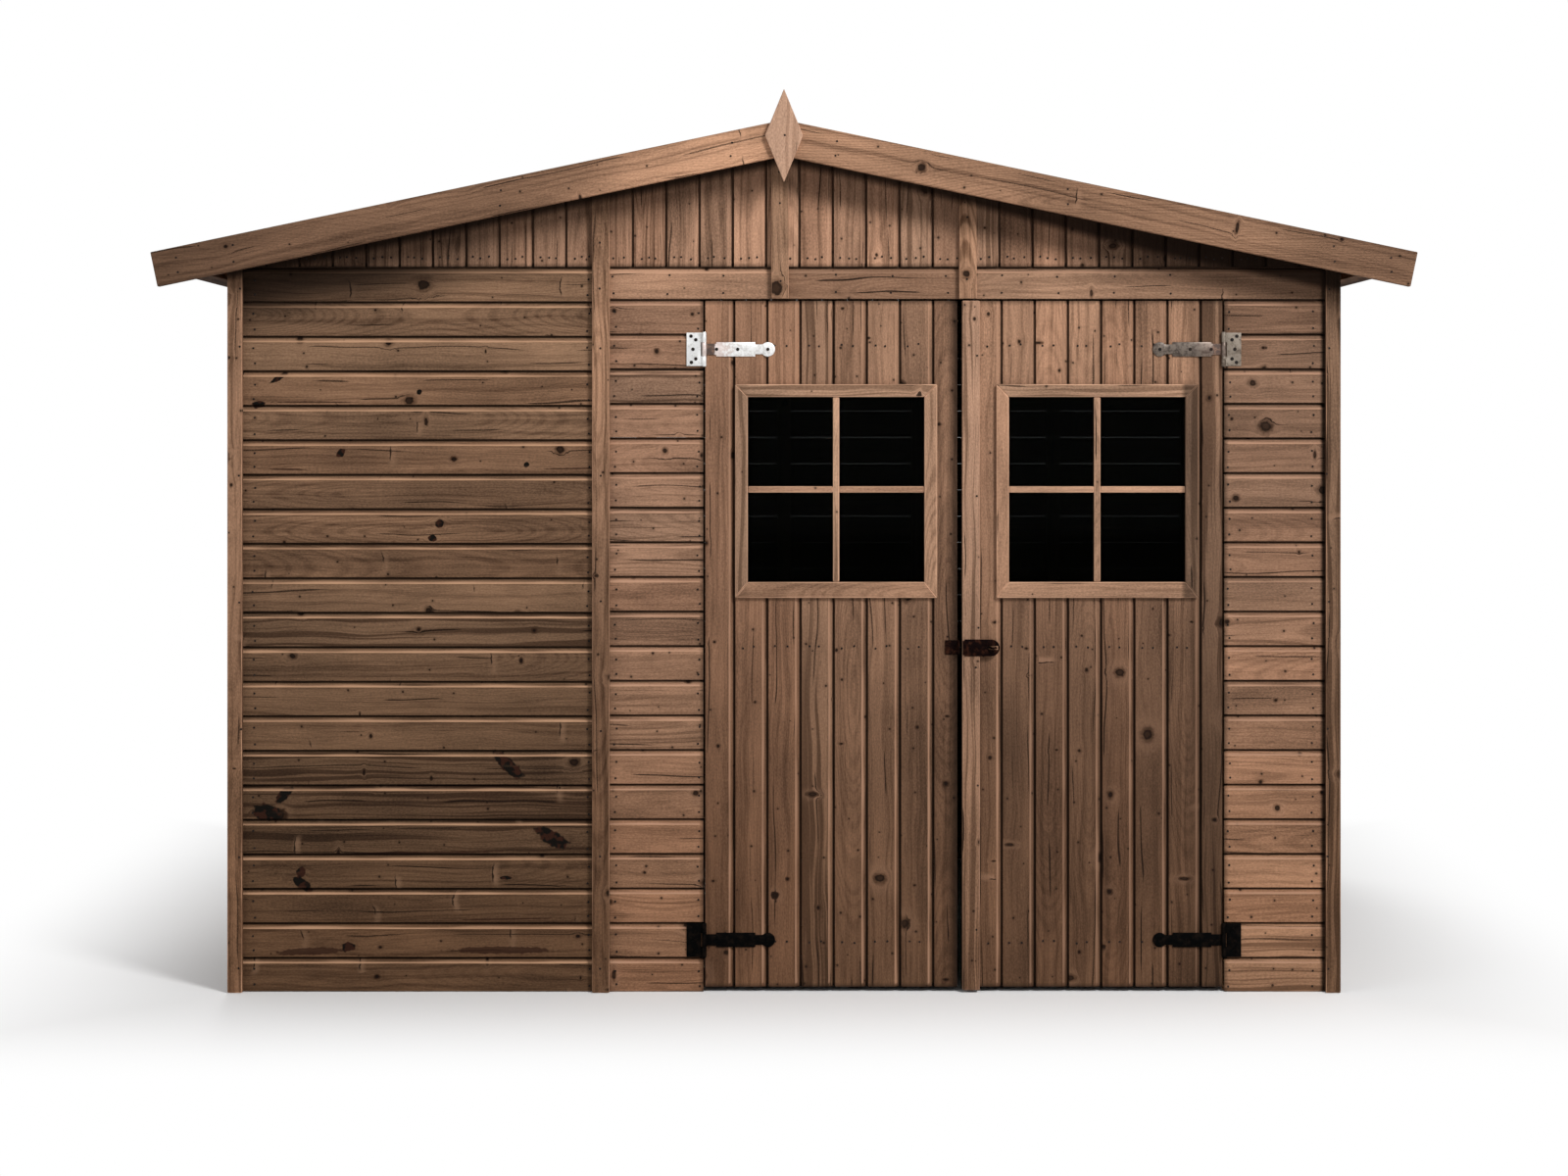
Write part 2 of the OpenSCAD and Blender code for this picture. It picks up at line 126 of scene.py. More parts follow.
def edit_where(obj, kind, test):
    """Opens the mesh for editing with only the parts whose every point passes the test."""
    activate(obj)
    mesh = obj.data
    bpy.ops.object.mode_set(mode="EDIT")
    bpy.ops.mesh.select_mode(type=kind)
    bpy.ops.mesh.select_all(action="DESELECT")
    leave_edit()
    if kind == "VERT":
        for v in mesh.vertices:
            v.select = test(v.co)
    else:
        for part in (mesh.edges if kind == "EDGE" else mesh.polygons):
            part.select = all(test(mesh.vertices[i].co) for i in part.vertices)
    bpy.ops.object.mode_set(mode="EDIT")


def leave_edit():
    bpy.ops.object.mode_set(mode="OBJECT")


def apply_modifier(obj, kind, **settings):
    activate(obj)
    modifier = obj.modifiers.new(kind.lower(), kind)
    for key, value in settings.items():
        setattr(modifier, key, value)
    bpy.ops.object.modifier_apply(modifier=modifier.name)
    return obj


def round_edges(obj, width=EDGE, segments=2):
    return apply_modifier(obj, "BEVEL", width=width, segments=segments,
                          limit_method="ANGLE", angle_limit=math.radians(40))


def repeat(obj, count, step):
    """Repeats a mesh along a step, as one joined mesh."""
    if count < 2:
        return obj
    return apply_modifier(obj, "ARRAY", count=count, use_relative_offset=False,
                          use_constant_offset=True, constant_offset_displace=step)


def trim_away(obj, point, normal):
    """Cuts off what lies beyond a plane, on the side that its normal points to."""
    edit_all(obj)
    bpy.ops.mesh.bisect(plane_co=point, plane_no=normal, use_fill=True, clear_outer=True)
    leave_edit()
    return obj


def copy_of(obj):
    """A copy with a mesh of its own."""
    twin = obj.copy()
    twin.data = obj.data.copy()
    bpy.context.scene.collection.objects.link(twin)
    return twin


def cut_window(obj, low, high):
    """Cuts a square hole through upright boards."""
    name = obj.name
    past_left = ((low.x, 0, 0), (1, 0, 0))
    past_right = ((high.x, 0, 0), (-1, 0, 0))
    between = [((low.x, 0, 0), (-1, 0, 0)), ((high.x, 0, 0), (1, 0, 0))]
    parts = []
    for cuts in ([past_left], [past_right], between + [((0, 0, low.z), (0, 0, 1))],
                 between + [((0, 0, high.z), (0, 0, -1))]):
        part = copy_of(obj)
        for point, normal in cuts:
            trim_away(part, point, normal)
        parts.append(part)
    bpy.data.objects.remove(obj)
    return joined(name, parts)


def joined(name, parts):
    bpy.ops.object.select_all(action="DESELECT")
    for part in parts:
        part.select_set(True)
    bpy.context.view_layer.objects.active = parts[0]
    if len(parts) > 1:
        bpy.ops.object.join()
    obj = bpy.context.view_layer.objects.active
    obj.name = name
    return obj


def extent(obj):
    """Lowest and highest corner of a settled object."""
    points = [v.co for v in obj.data.vertices]
    return (Vector(min(p[i] for p in points) for i in range(3)),
            Vector(max(p[i] for p in points) for i in range(3)))


def paint(obj, material):
    obj.data.materials.clear()
    obj.data.materials.append(material)
    return obj


def mark_grain(obj, seeds, place):
    """Stores on each point its board's own three random numbers, how far it lies from the middle
    of the board, and how it is marked: 1 on an edge that is rubbed and lit, for paler rubbed
    stain and a painted highlight, -1 down in a joint, for grime and painted shade."""
    own = obj.data.attributes.new("board", "FLOAT_VECTOR", "POINT")
    lie = obj.data.attributes.new("lie", "FLOAT_VECTOR", "POINT")
    for v in obj.data.vertices:
        index, across, wear_light_and_shade = place(v.co)
        own.data[v.index].vector = seeds[index]
        lie.data[v.index].vector = (across, wear_light_and_shade, 0)
    return obj


def draw_seeds(rng, count):
    return [(rng.random(), rng.random(), rng.random()) for _ in range(count)]


def keep(obj, body, slot, *nodes):
    """Hands a finished piece over: the body it rides on, and the CAD nodes it stands for, which
    are hidden. The slot is not used.
    """
    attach(obj, body)
    if nodes:
        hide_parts(*nodes)
    return obj


# ---- finishes ----

class Value:
    """A number or a vector inside a material. Numbers take plain arithmetic."""

    def __init__(self, nodes, socket):
        self.nodes = nodes
        self.socket = socket

    def __add__(self, other):
        return self.nodes.math("ADD", self, other)

    def __sub__(self, other):
        return self.nodes.math("SUBTRACT", self, other)

    def __mul__(self, other):
        return self.nodes.math("MULTIPLY", self, other)

    def __truediv__(self, other):
        return self.nodes.math("DIVIDE", self, other)

    def __pow__(self, other):
        return self.nodes.math("POWER", self, other)

    def __abs__(self):
        return self.nodes.math("ABSOLUTE", self)


class Nodes:
    """Builds the nodes of a material or of the world."""

    def __init__(self, owner):
        owner.use_nodes = True
        self.tree = owner.node_tree

    def node(self, kind, **settings):
        new = self.tree.nodes.new("ShaderNode" + kind)
        for key, value in settings.items():
            setattr(new, key, value)
        return new

    def feed(self, socket, value):
        if isinstance(value, Value):
            value = value.socket
        if isinstance(value, bpy.types.NodeSocket):
            self.tree.links.new(value, socket)
        else:
            socket.default_value = value

    def made(self, kind, values, output=0, **settings):
        """An output of a new node, whose first inputs take the values."""
        new = self.node(kind, **settings)
        for socket, value in zip(new.inputs, values):
            self.feed(socket, value)
        return Value(self, new.outputs[output])

    def math(self, operation, *values, clamp=False):
        return self.made("Math", values, operation=operation, use_clamp=clamp)

    def linear(self, value, slope, start):
        """The value times a slope, plus a start."""
        return self.math("MULTIPLY_ADD", value, slope, start)

    def larger(self, a, b):
        return self.math("MAXIMUM", a, b)

    def vector(self, operation, *values):
        return self.made("VectorMath", values, "Value" if operation == "LENGTH" else "Vector",
                         operation=operation)

    def combine(self, *values):
        return self.made("CombineXYZ", values)

    def split(self, vector):
        new = self.node("SeparateXYZ")
        self.feed(new.inputs[0], vector)
        return [Value(self, output) for output in new.outputs]

    def fade(self, value, low, high, to_low=0.0, to_high=1.0):
        """A smooth step from to_low to to_high as the value goes from low to high."""
        return self.made("MapRange", (value, low, high, to_low, to_high),
                         interpolation_type="SMOOTHSTEP")

    def noise(self, at, scale, detail, roughness, dimensions="3D"):
        new = self.node("TexNoise", noise_dimensions=dimensions)
        for key, value in (("Vector", at), ("Scale", scale), ("Detail", detail),
                           ("Roughness", roughness)):
            self.feed(new.inputs[key], value)
        return Value(self, new.outputs["Fac"])

    def streak(self, along, across, detail=1.0, roughness=0.5):
        """Flat noise, from places already scaled along and across the grain."""
        return self.noise(self.combine(along, across), 1.0, detail, roughness, "2D")

    def mix(self, factor, a, b, blend="MIX"):
        new = self.node("Mix", data_type="RGBA", blend_type=blend)
        for key, value in (("Factor", factor), ("A", a), ("B", b)):
            self.feed(new.inputs[key], (*value, 1.0) if isinstance(value, tuple) else value)
        return Value(self, next(o for o in new.outputs
                                if o.name == "Result" and o.type == "RGBA"))


class Finish(Nodes):
    """One material, around its main shader."""

    def __init__(self, name):
        self.material = bpy.data.materials.new(name)
        super().__init__(self.material)
        self.surface = self.tree.nodes["Principled BSDF"]

    def place(self):
        return Value(self, self.node("TexCoord").outputs["Object"])

    def attribute(self, name):
        return Value(self, self.node("Attribute", attribute_name=name).outputs["Vector"])

    def bump(self, height, distance, strength):
        new = self.node("Bump")
        for key, value in (("Strength", strength), ("Distance", distance), ("Height", height)):
            self.feed(new.inputs[key], value)
        self.feed(self.surface.inputs["Normal"], new.outputs["Normal"])

    def set(self, **values):
        for key, value in values.items():
            name = key.replace("_", " ").title().replace("Ior", "IOR")
            self.feed(self.surface.inputs[name], value)
        return self.material


def scaled(colour, factor):
    return tuple(factor * v for v in colour)


def sparse_points(f, a, c, scale):
    """Scattered points: the nearest one's three random numbers, and the way from it."""
    cells = f.node("TexVoronoi", voronoi_dimensions="2D")
    cells.inputs["Scale"].default_value = 1.0
    here = f.combine(a * scale[0], c * scale[1])
    f.feed(cells.inputs["Vector"], here)
    way = f.vector("SUBTRACT", here, cells.outputs["Position"])
    return f.split(cells.outputs["Color"]), f.vector("DIVIDE", way, (*scale, 1.0))


def resin_spots(f, along, across, spots):
    """A mask of resin spots, and how far each bends the grain."""
    lumpy = f.linear(f.streak(along * 70.0, across * 70.0), 0.7, 0.65)
    mask = None
    pushes = []
    for at_along, at_across, long, short, lean in spots:
        back = along - at_along
        up = across - at_across
        turn, rise = math.cos(math.radians(lean)), math.sin(math.radians(lean))
        main = back * (turn / long) + up * (rise / long)
        side = up * (turn / short) - back * (rise / short)
        reach = f.vector("LENGTH", f.combine(main, side)) * lumpy
        inside = f.fade(reach, 0.85, 1.08, 1.0, 0.0)
        mask = f.larger(mask, inside) if mask else inside
        pushes.append(up * f.fade(reach, 1.0, 3.2, 1.0, 0.0))
    return mask, pushes


def cracks(f, a, line, seed):
    """Thin cracks along the grain: each band of it, 24 to the metre, may open here and there."""
    band = line * 24.0
    start = f.math("FLOOR", band)
    chance = f.made("TexWhiteNoise", (f.combine(start, seed),), "Value", noise_dimensions="2D")
    off = abs((band - start) - f.linear(chance, 0.6, 0.2))
    gape = f.fade(f.streak(f.linear(chance, 90.0, a * 4.5), start * 7.3, 0.0), 0.57, 0.67, 0.0,
                  0.045)
    return f.fade(off / f.larger(gape, 0.0005), 0.7, 1.0, 1.0, 0.0)


def soot_below_roof(f, ground_x, height_up, look):
    """Painted shadow under the bargeboards: a hard dark line, and a soft painted shade under
    that.
    """
    drop = f.fade(ground_x, 0.25, 1.05, 0.004, 0.034)
    under = f.linear(abs(ground_x), SLOPE, height_up + drop)
    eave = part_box("front_right_bargeboard")[1].z - 0.089
    shade = look["shade"]
    return f.larger(f.fade(under, eave - 0.026, eave + 0.010, 0.0, 0.95),
                    f.fade(under, eave - shade, eave - shade * 0.3, 0.0, look["soot"]))


def wood(name, grain, look, tilt, resinous):
    """Stained softwood whose grain runs along one axis. The board attribute moves the pattern,
    and shifts the tone, from one board to the next; the lie attribute gives the distance from a
    board's middle and how far its surface is rubbed and lit, with a painted highlight, or grimy
    and shaded, with painted shade."""
    f = Finish(name)
    pale, dark = look["pale"], look["dark"]
    place = f.place()
    ground_x, _, height_up = f.split(place)
    if tilt:
        place = f.made("Mapping", (place, (0, 0, 0), (0, tilt, 0)))
    seed = f.attribute("board")
    seed_a, seed_b, seed_c = f.split(seed)
    middle, wear_light_and_shade, _ = f.split(f.attribute("lie"))
    x, y, z = f.split(place)
    along, across, depth = {"X": (x, z, y), "Y": (y, z, x), "Z": (z, x, y)}[grain]
    a, c, d = f.split(f.vector("ADD", f.combine(along, across, depth),
                               f.vector("MULTIPLY", seed, (9.0, 4.0, 5.0))))

    # knots: sparse points that the grain flows around, and pin knots between them
    (luck, size, shape), way = sparse_points(f, a, c, (3.8, 10.0))
    off_a, off_c, _ = f.split(way)
    ragged = f.linear(f.streak(a * 90.0, c * 90.0), 0.6, 0.7)
    slim = f.linear(shape ** 4.0, 2.2, 0.85)
    reach = f.vector("LENGTH", f.combine(off_a * slim, off_c)) * ragged
    present = f.math("LESS_THAN", luck, look["knots"])
    knot_r = present * f.linear(size ** 3.0, look["knot_size"], 0.0032)
    ratio = knot_r / f.larger(reach, 0.0005)
    wide = ratio * 1.7
    pull = f.math("MINIMUM", wide * wide, 1.0) * f.fade(reach, 0.012, 0.05, 1.0, 0.0)
    knot = f.fade(ratio, 0.85, 1.15)
    heart = f.fade(ratio, 1.3, 2.2) * f.fade(size, 0.6, 0.9, 0.0, 0.35)
    smudge = f.fade(ratio, 0.28, 0.9, 0.0, 0.5)
    halo = f.fade(ratio, 0.16, 0.4) * f.fade(ratio, 0.45, 0.7, 1.0, 0.0)
    halo = halo * f.fade(size, 0.4, 0.8, 0.0, 0.3)
    (pin_luck, pin_size, _), pin_way = sparse_points(f, a, c, (9.0, 17.0))
    pin_r = f.math("LESS_THAN", pin_luck, look["knots"] * 0.8)
    pin_r = pin_r * f.linear(pin_size, 0.0018, 0.0014)
    pin_ratio = pin_r / f.larger(f.vector("LENGTH", pin_way) * ragged, 0.0003)
    pin = f.larger(f.fade(pin_ratio, 0.8, 1.15), f.fade(pin_ratio, 0.25, 0.8, 0.0, 0.3))

    # scars: a branch's thin mark across the grain, pale along one side
    scarred = f.math("GREATER_THAN", luck, 1.0 - look["scars"])
    bend = f.linear(shape, 26.0, -13.0)
    bow = (off_a - off_c * off_c * bend) - f.linear(ragged, 0.010, -0.010)
    scarred = scarred * f.fade(abs(off_c), 0.014, 0.036, 1.0, 0.0)
    scar = scarred * f.fade(size + off_c * 22.0, 0.35, 0.6)
    scar = scar * f.fade(abs(bow), 0.0008, 0.0026, 1.0, 0.0)
    shine = scarred * f.fade(size, 0.0, 0.9, 0.25, 1.0)
    shine = shine * f.fade(abs(bow - 0.006), 0.0, 0.014, 1.0, 0.0)

    # growth rings round a pith that dips and rises behind the face
    bent = middle - off_c * pull
    if resinous:
        resin, pushes = resin_spots(f, along, across, RESIN_KNOTS)
        gum, _ = resin_spots(f, along, across, RESIN_STREAKS)
        for push in pushes:
            bent = bent - push
    behind = f.linear(f.streak(a * 0.85, seed_b * 40.0), 0.22, -0.06)
    sway = f.streak(a * 3.0, c * 14.0, 1.5)
    aside = (bent - f.linear(seed_c, 0.07, -0.035)) + f.linear(sway, 0.006, -0.003)
    radius = f.vector("LENGTH", f.combine(aside, behind))
    radius = f.linear(f.streak(radius * 70.0, seed_b * 50.0, 0.0), 0.009, radius)
    rings = f.math("SINE", radius * (math.tau * 165.0))
    clarity = f.linear(seed_b ** 2.0, look["rings"], 0.25 * look["rings"])
    line = (c - off_c * pull) + f.linear(sway, 0.03, d * 0.8)
    streaks = f.streak(a * 0.8, line * 70.0, 2.5, 0.6)
    fibres = f.streak(a * 18.0, line * 480.0, 2.0, 0.7)
    fuzz = f.streak(a * 150.0, line * 330.0, 1.0, 0.6)
    shade = f.fade(rings, -0.2, 1.0) * clarity + (
        f.fade(streaks, 0.40, 0.72, 0.0, look["streaks"]) + f.linear(fibres, 0.7, -0.22))
    stripy = f.fade(seed_c, 0.76, 0.84) * f.fade(streaks, 0.46, 0.60, 0.1, 0.8)
    shade = f.math("ADD", f.larger(shade, stripy), smudge, clamp=True)

    # weather and painted light: blotches, each board's own tone, and a change of tone from foot
    # to top that is partly weathering and partly painted light from above
    blotch = f.streak(a * 2.4, c * 7.0, 2.5, 0.6)
    level = f.linear(seed_a, 0.34, 0.35) + (blotch * 1.2 + f.linear(fuzz, 0.7, -0.46))
    # lighter or darker from foot to top: partly weathering, partly painted light from above
    level = level * f.fade(height_up, *look["rise"], look["foot"], look["top"])
    colour = f.mix(shade, pale, dark)
    tint = f.mix(seed_c, (1.04, 0.99, 0.95), (0.98, 1.005, 1.0))
    colour = f.mix(1.0, colour, tint, "MULTIPLY")
    warm = f.combine(level, level * f.fade(height_up, 0.0, 1.3, 0.93, 1.0),
                     level * f.fade(height_up, 0.0, 1.3, 0.84, 1.0))
    colour = f.mix(1.0, colour, warm, "MULTIPLY")
    colour = f.mix(f.larger(halo, shine) * 0.5, colour, scaled(pale, 1.25))

    # dark marks: cracks, scars, knots and resin
    ink = scaled(dark, 0.12)
    colour = f.mix(f.larger(cracks(f, a, line, seed_a), scar) * 0.9, colour, ink)
    knot_colour = f.mix(heart, scaled(dark, 0.16), scaled(dark, 0.8))
    colour = f.mix(knot * 0.93, colour, knot_colour)
    colour = f.mix(pin * 0.9, colour, scaled(dark, 0.2))
    if resinous:
        patches = f.noise(f.combine(a, c), 55.0, 1.0, 0.5, "2D")
        black_or_brown = f.mix(f.fade(patches, 0.46, 0.62), (0.004, 0.003, 0.002),
                               (0.026, 0.009, 0.005))
        colour = f.mix(gum * 0.8, colour, (0.024, 0.009, 0.005))
        colour = f.mix(resin, colour, black_or_brown)

    # rubbed edges with a painted highlight, painted light and shade across the shed (partly
    # weathering), dirty joints and board ends with painted shade, and a painted shadow under the
    # roof
    rub_patchiness = f.streak(a * 6.0, c * 60.0)
    # rubbed edges and scoops: paler rubbed stain and a painted highlight
    rub = f.fade(wear_light_and_shade + f.linear(rub_patchiness, 0.9, -0.45), 0.15, 1.05)
    colour = f.mix(rub * look["rub"], colour, scaled(pale, look["edge"]))
    # painted light and shade across the shed, partly weathering: each ramp lightens or darkens
    # the piece from one X to another
    for ramp in look["span"]:
        tone = f.fade(ground_x, *ramp)
        colour = f.mix(1.0, colour, f.combine(tone, tone, tone), "MULTIPLY")
    # dirt and painted shade in joints and at board ends
    grime = f.math("MINIMUM", wear_light_and_shade, 0.0) * -0.8
    # painted shadow of the roof's overhang on the boards below it
    if look["soot"]:
        grime = f.larger(grime, soot_below_roof(f, ground_x, height_up, look))
    f.bump(f.streak(a * 14.0, c * 420.0, 1.0, 0.6), 0.0008, 0.7)
    # cracks, scars, grime, painted shade and the painted shadow all take the dark ink colour
    return f.set(base_color=f.mix(grime, colour, ink), roughness=0.78, specular_ior_level=0.06)


def plain_metal(name, base, spots, metallic, low, high, shine=0.5):
    """Metal with a patchy coat: zinc, black lacquer or rust."""
    f = Finish(name)
    mask = f.fade(f.noise(f.place(), 60.0, 4.0, 0.65), 0.45, 0.68)
    f.bump(mask * 0.6 + f.noise(f.place(), 540.0, 2.0, 0.6) * 0.4, 0.0003, 0.5)
    return f.set(base_color=f.mix(mask, base, spots), metallic=metallic,
                 roughness=f.linear(mask, high - low, low), specular_ior_level=shine)


def worn_strap(name, base, spots, pin_x, hand):
    """A zinc strap whose coat is gone at its neck, next to the pin."""
    f = Finish(name)
    out = (f.split(f.place())[0] - pin_x) * hand
    patches = f.noise(f.place(), 110.0, 4.0, 0.65)
    rust = f.fade(f.linear(patches, -0.012, out), 0.019, 0.023, 1.0, 0.0)
    rust = rust * f.fade(out, 0.0052, 0.0062)
    blush = f.fade(f.linear(patches, -0.09, out), 0.0, 0.03, 0.55, 0.0)
    bare = f.mix(f.fade(patches, 0.4, 0.65), base, spots)
    stained_zinc = f.mix(blush * base[0], bare, (0.50, 0.30, 0.24))
    brown = f.mix(f.fade(patches, 0.45, 0.6), (0.060, 0.036, 0.028), (0.16, 0.09, 0.06))
    f.bump(patches, 0.0003, 0.5)
    return f.set(base_color=f.mix(rust, stained_zinc, brown),
                 roughness=f.linear(rust, 0.35, 0.38), metallic=f.linear(rust, -0.3, 0.45))


def felt_finish():
    """Bituminous felt with a dull mineral grit."""
    f = Finish("mineral_felt")
    grit = f.noise(f.place(), 900.0, 2.0, 0.7)
    wash = f.noise(f.vector("MULTIPLY", f.place(), (1.4, 5.0, 1.4)), 1.0, 4.0, 0.6)
    coarse = f.noise(f.place(), 260.0, 2.0, 0.7)
    speck = f.larger(f.fade(grit, 0.35, 0.7), f.fade(coarse, 0.5, 0.68, 0.0, 0.8))
    colour = f.mix(speck, (0.045, 0.047, 0.05), (0.19, 0.19, 0.192))
    colour = f.mix(f.fade(wash, 0.42, 0.72, 0.0, 0.5), colour, (0.085, 0.095, 0.062))
    f.bump(grit, 0.0008, 0.8)
    return f.set(base_color=colour, roughness=0.92, specular_ior_level=0.2)


def pane_finish():
    """A thin window pane, a little grimy towards its edges, with a dark tint that is painted
    shade over the view of the inside.
    """
    f = Finish("window_pane")
    grime = f.noise(f.place(), 7.0, 4.0, 0.6)
    # dark tint: painted shade, darkening what shows through the glass
    tint = f.mix(f.fade(grime, 0.45, 0.8), (0.12, 0.125, 0.13), (0.10, 0.10, 0.09))
    return f.set(base_color=tint, roughness=f.fade(grime, 0.5, 0.9, 0.02, 0.12),
                 transmission_weight=1.0, ior=1.07)


PLAIN_LOOK = dict(rings=0.28, streaks=0.30, knots=0.55, knot_size=0.009, scars=0.06, foot=0.85,
                  top=1.0, rise=(0.1, 1.75), rub=0.8, edge=1.5, span=(), soot=0.0, shade=0.13)


def look(stain, **changes):
    """What one kind of piece looks like, from the pale and dark colours of its stain. Each ramp
    across the shed goes from one X to another, and from one tone to another: painted light and
    shade, partly weathering. The tone also changes from foot to top over the heights in rise,
    partly with weathering and partly as painted light from above. Rounded edges and scoops are
    made paler, as rubbed stain with a painted highlight. The painted shadow under the roof
    reaches down by the depth in shade."""
    pale, dark = stain
    return {**PLAIN_LOOK, "pale": pale, "dark": dark, **changes}


SHORT_STAIN = ((0.285, 0.163, 0.105), (0.070, 0.036, 0.021))
DOOR_STAIN = ((0.240, 0.135, 0.085), (0.056, 0.028, 0.016))
STRIP_STAIN = ((0.245, 0.140, 0.087), (0.062, 0.031, 0.017))
SHADED_CORNER = (1.346, 1.357, 1.0, 0.15)
# The ramps across the shed and the change from foot to top paint light and shade, partly
# weathering; the darkening under the roof is a painted shadow.
LOOKS = {
    "panel": look(((0.185, 0.107, 0.064), (0.036, 0.017, 0.009)), rings=0.22, foot=0.62,
                  top=1.12, edge=2.8, scars=0.4, streaks=0.4, soot=0.9, shade=0.185),
    "side": look(((0.200, 0.114, 0.068), (0.050, 0.025, 0.014)), foot=0.7, top=1.05, edge=2.2,
                 scars=0.2),
    "short": look(SHORT_STAIN, knots=0.9, span=((-0.3, -0.2, 1.12, 1.08),)),
    "right short": look(SHORT_STAIN, knots=0.9, foot=1.18, top=0.78, rise=(0.2, 1.5),
                        span=((0.97, 1.15, 1.0, 0.90), SHADED_CORNER)),
    "door": look(DOOR_STAIN, knots=0.85, foot=0.54, top=1.2, streaks=0.38, rings=0.17,
                 span=((0.402, 0.434, 1.0, 0.22),)),
    "right door": look(DOOR_STAIN, knots=0.85, foot=0.46, top=1.40, rise=(0.5, 1.75),
                       edge=1.15, streaks=0.38, rings=0.15,
                       span=((0.547, 0.556, 1.35, 1.0), (1.0, 1.03, 1.0, 0.72))),
    "gable": look(((0.315, 0.180, 0.116), (0.080, 0.041, 0.024)), knots=0.6, edge=1.1, rub=0.5,
                  streaks=0.5, soot=0.30,
                  span=((-1.1, -0.5, 0.5, 1.0), (-0.45, -0.15, 1.0, 1.3),
                        (0.15, 0.35, 1.0, 0.86), (0.60, 1.10, 1.0, 0.22))),
    "header": look(((0.310, 0.178, 0.113), (0.100, 0.052, 0.031)), knots=0.6, edge=1.4,
                   scars=0.3, soot=0.35, top=1.12,
                   span=((-0.06, 0.0, 1.22, 0.68), (0.44, 0.47, 1.0, 1.34), SHADED_CORNER)),
    "trim": look(STRIP_STAIN, knots=0.75, rub=0.9, edge=2.7, scars=0.2, knot_size=0.012,
                 rings=0.5, streaks=0.55, soot=0.25, span=((-1.38, 1.38, 1.17, 0.87),)),
    "strip": look(STRIP_STAIN, knots=0.75, rub=0.9, edge=2.0, scars=0.2, knot_size=0.012,
                  rings=0.5, streaks=0.55, soot=0.25, foot=0.62, top=1.45, rise=(0.75, 1.8),
                  span=((-0.5, 0.5, 1.05, 0.9),)),
    "post": look(((0.325, 0.188, 0.124), (0.090, 0.047, 0.028)), knots=0.6, knot_size=0.012,
                 streaks=0.2, rings=0.15, foot=0.80, top=1.10),
    "barge": look(((0.250, 0.140, 0.086), (0.062, 0.031, 0.018)), knots=0.6, knot_size=0.014,
                  rub=0.5, edge=1.6, rings=0.45, scars=0.15, streaks=0.45,
                  span=((-1.5, -1.0, 0.42, 0.72), (-0.72, -0.30, 1.0, 2.5),
                        (-0.1, 0.1, 1.0, 0.66), (0.3, 0.75, 1.0, 0.72),
                        (1.15, 1.4, 1.0, 0.78))),
    "finial": look(((0.420, 0.252, 0.172), (0.280, 0.160, 0.105)), knots=0.1, scars=0.0,
                   edge=1.2, streaks=0.15, rings=0.12),
    "casing": look(((0.385, 0.226, 0.146), (0.130, 0.070, 0.042)), knots=0.3, rub=0.9,
                   edge=1.7, foot=0.8,
                   span=((-0.10, -0.085, 0.84, 1.0), (0.995, 1.01, 1.0, 0.36))),
    "frame": look(((0.400, 0.255, 0.150), (0.200, 0.108, 0.056)), knots=0.45, rub=0.2,
                  edge=1.2, foot=1.0),
}
# X, height, half length, half width, lean in degrees
RESIN_STREAKS = (
    (-1.190, 0.101, 0.088, 0.009, 2),
    (-0.710, 0.104, 0.130, 0.009, 0),
    (-0.940, 0.348, 0.210, 0.0035, 1),
    (-0.700, 0.182, 0.130, 0.0022, 1),
    (-0.780, 0.517, 0.230, 0.0030, 0),
    (-1.180, 1.483, 0.110, 0.0022, 0),
    (-1.250, 1.314, 0.050, 0.0026, -1),
    (-0.530, 1.316, 0.075, 0.0024, 1),
)
RESIN_KNOTS = (
    (-1.323, 1.477, 0.017, 0.009, 8),
    (-1.272, 1.544, 0.026, 0.006, 30),
    (-1.116, 1.355, 0.012, 0.009, 55),
    (-0.868, 1.177, 0.012, 0.010, 20),
    (-0.885, 1.141, 0.011, 0.009, 0),
    (-0.918, 1.509, 0.007, 0.007, 0),
    (-0.648, 1.326, 0.007, 0.007, 0),
    (-0.693, 0.568, 0.050, 0.017, -42),
    (-1.259, 0.494, 0.026, 0.013, 45),
    (-1.300, 0.450, 0.040, 0.021, -8),
    (-0.583, 0.387, 0.046, 0.019, -30),
    (-1.216, 0.300, 0.015, 0.012, 70),
    (-1.213, 0.270, 0.031, 0.013, -38),
    (-1.096, 0.112, 0.018, 0.012, 5),
    (-0.700, 0.286, 0.016, 0.005, 0),
)
RESINOUS_ROWS = (4, 6)
wood_cache = {}


def stained(kind, grain, tilt=0.0):
    """The wood of one kind, made once for each way that its grain runs."""
    key = (kind, grain, round(tilt, 4))
    if key not in wood_cache:
        hand = "" if not tilt else "_left" if tilt < 0 else "_right"
        name = f"{kind.replace(' ', '_')}_wood_{grain.lower()}{hand}"
        wood_cache[key] = wood(name, grain, LOOKS[kind], tilt, kind == "panel")
    return wood_cache[key]


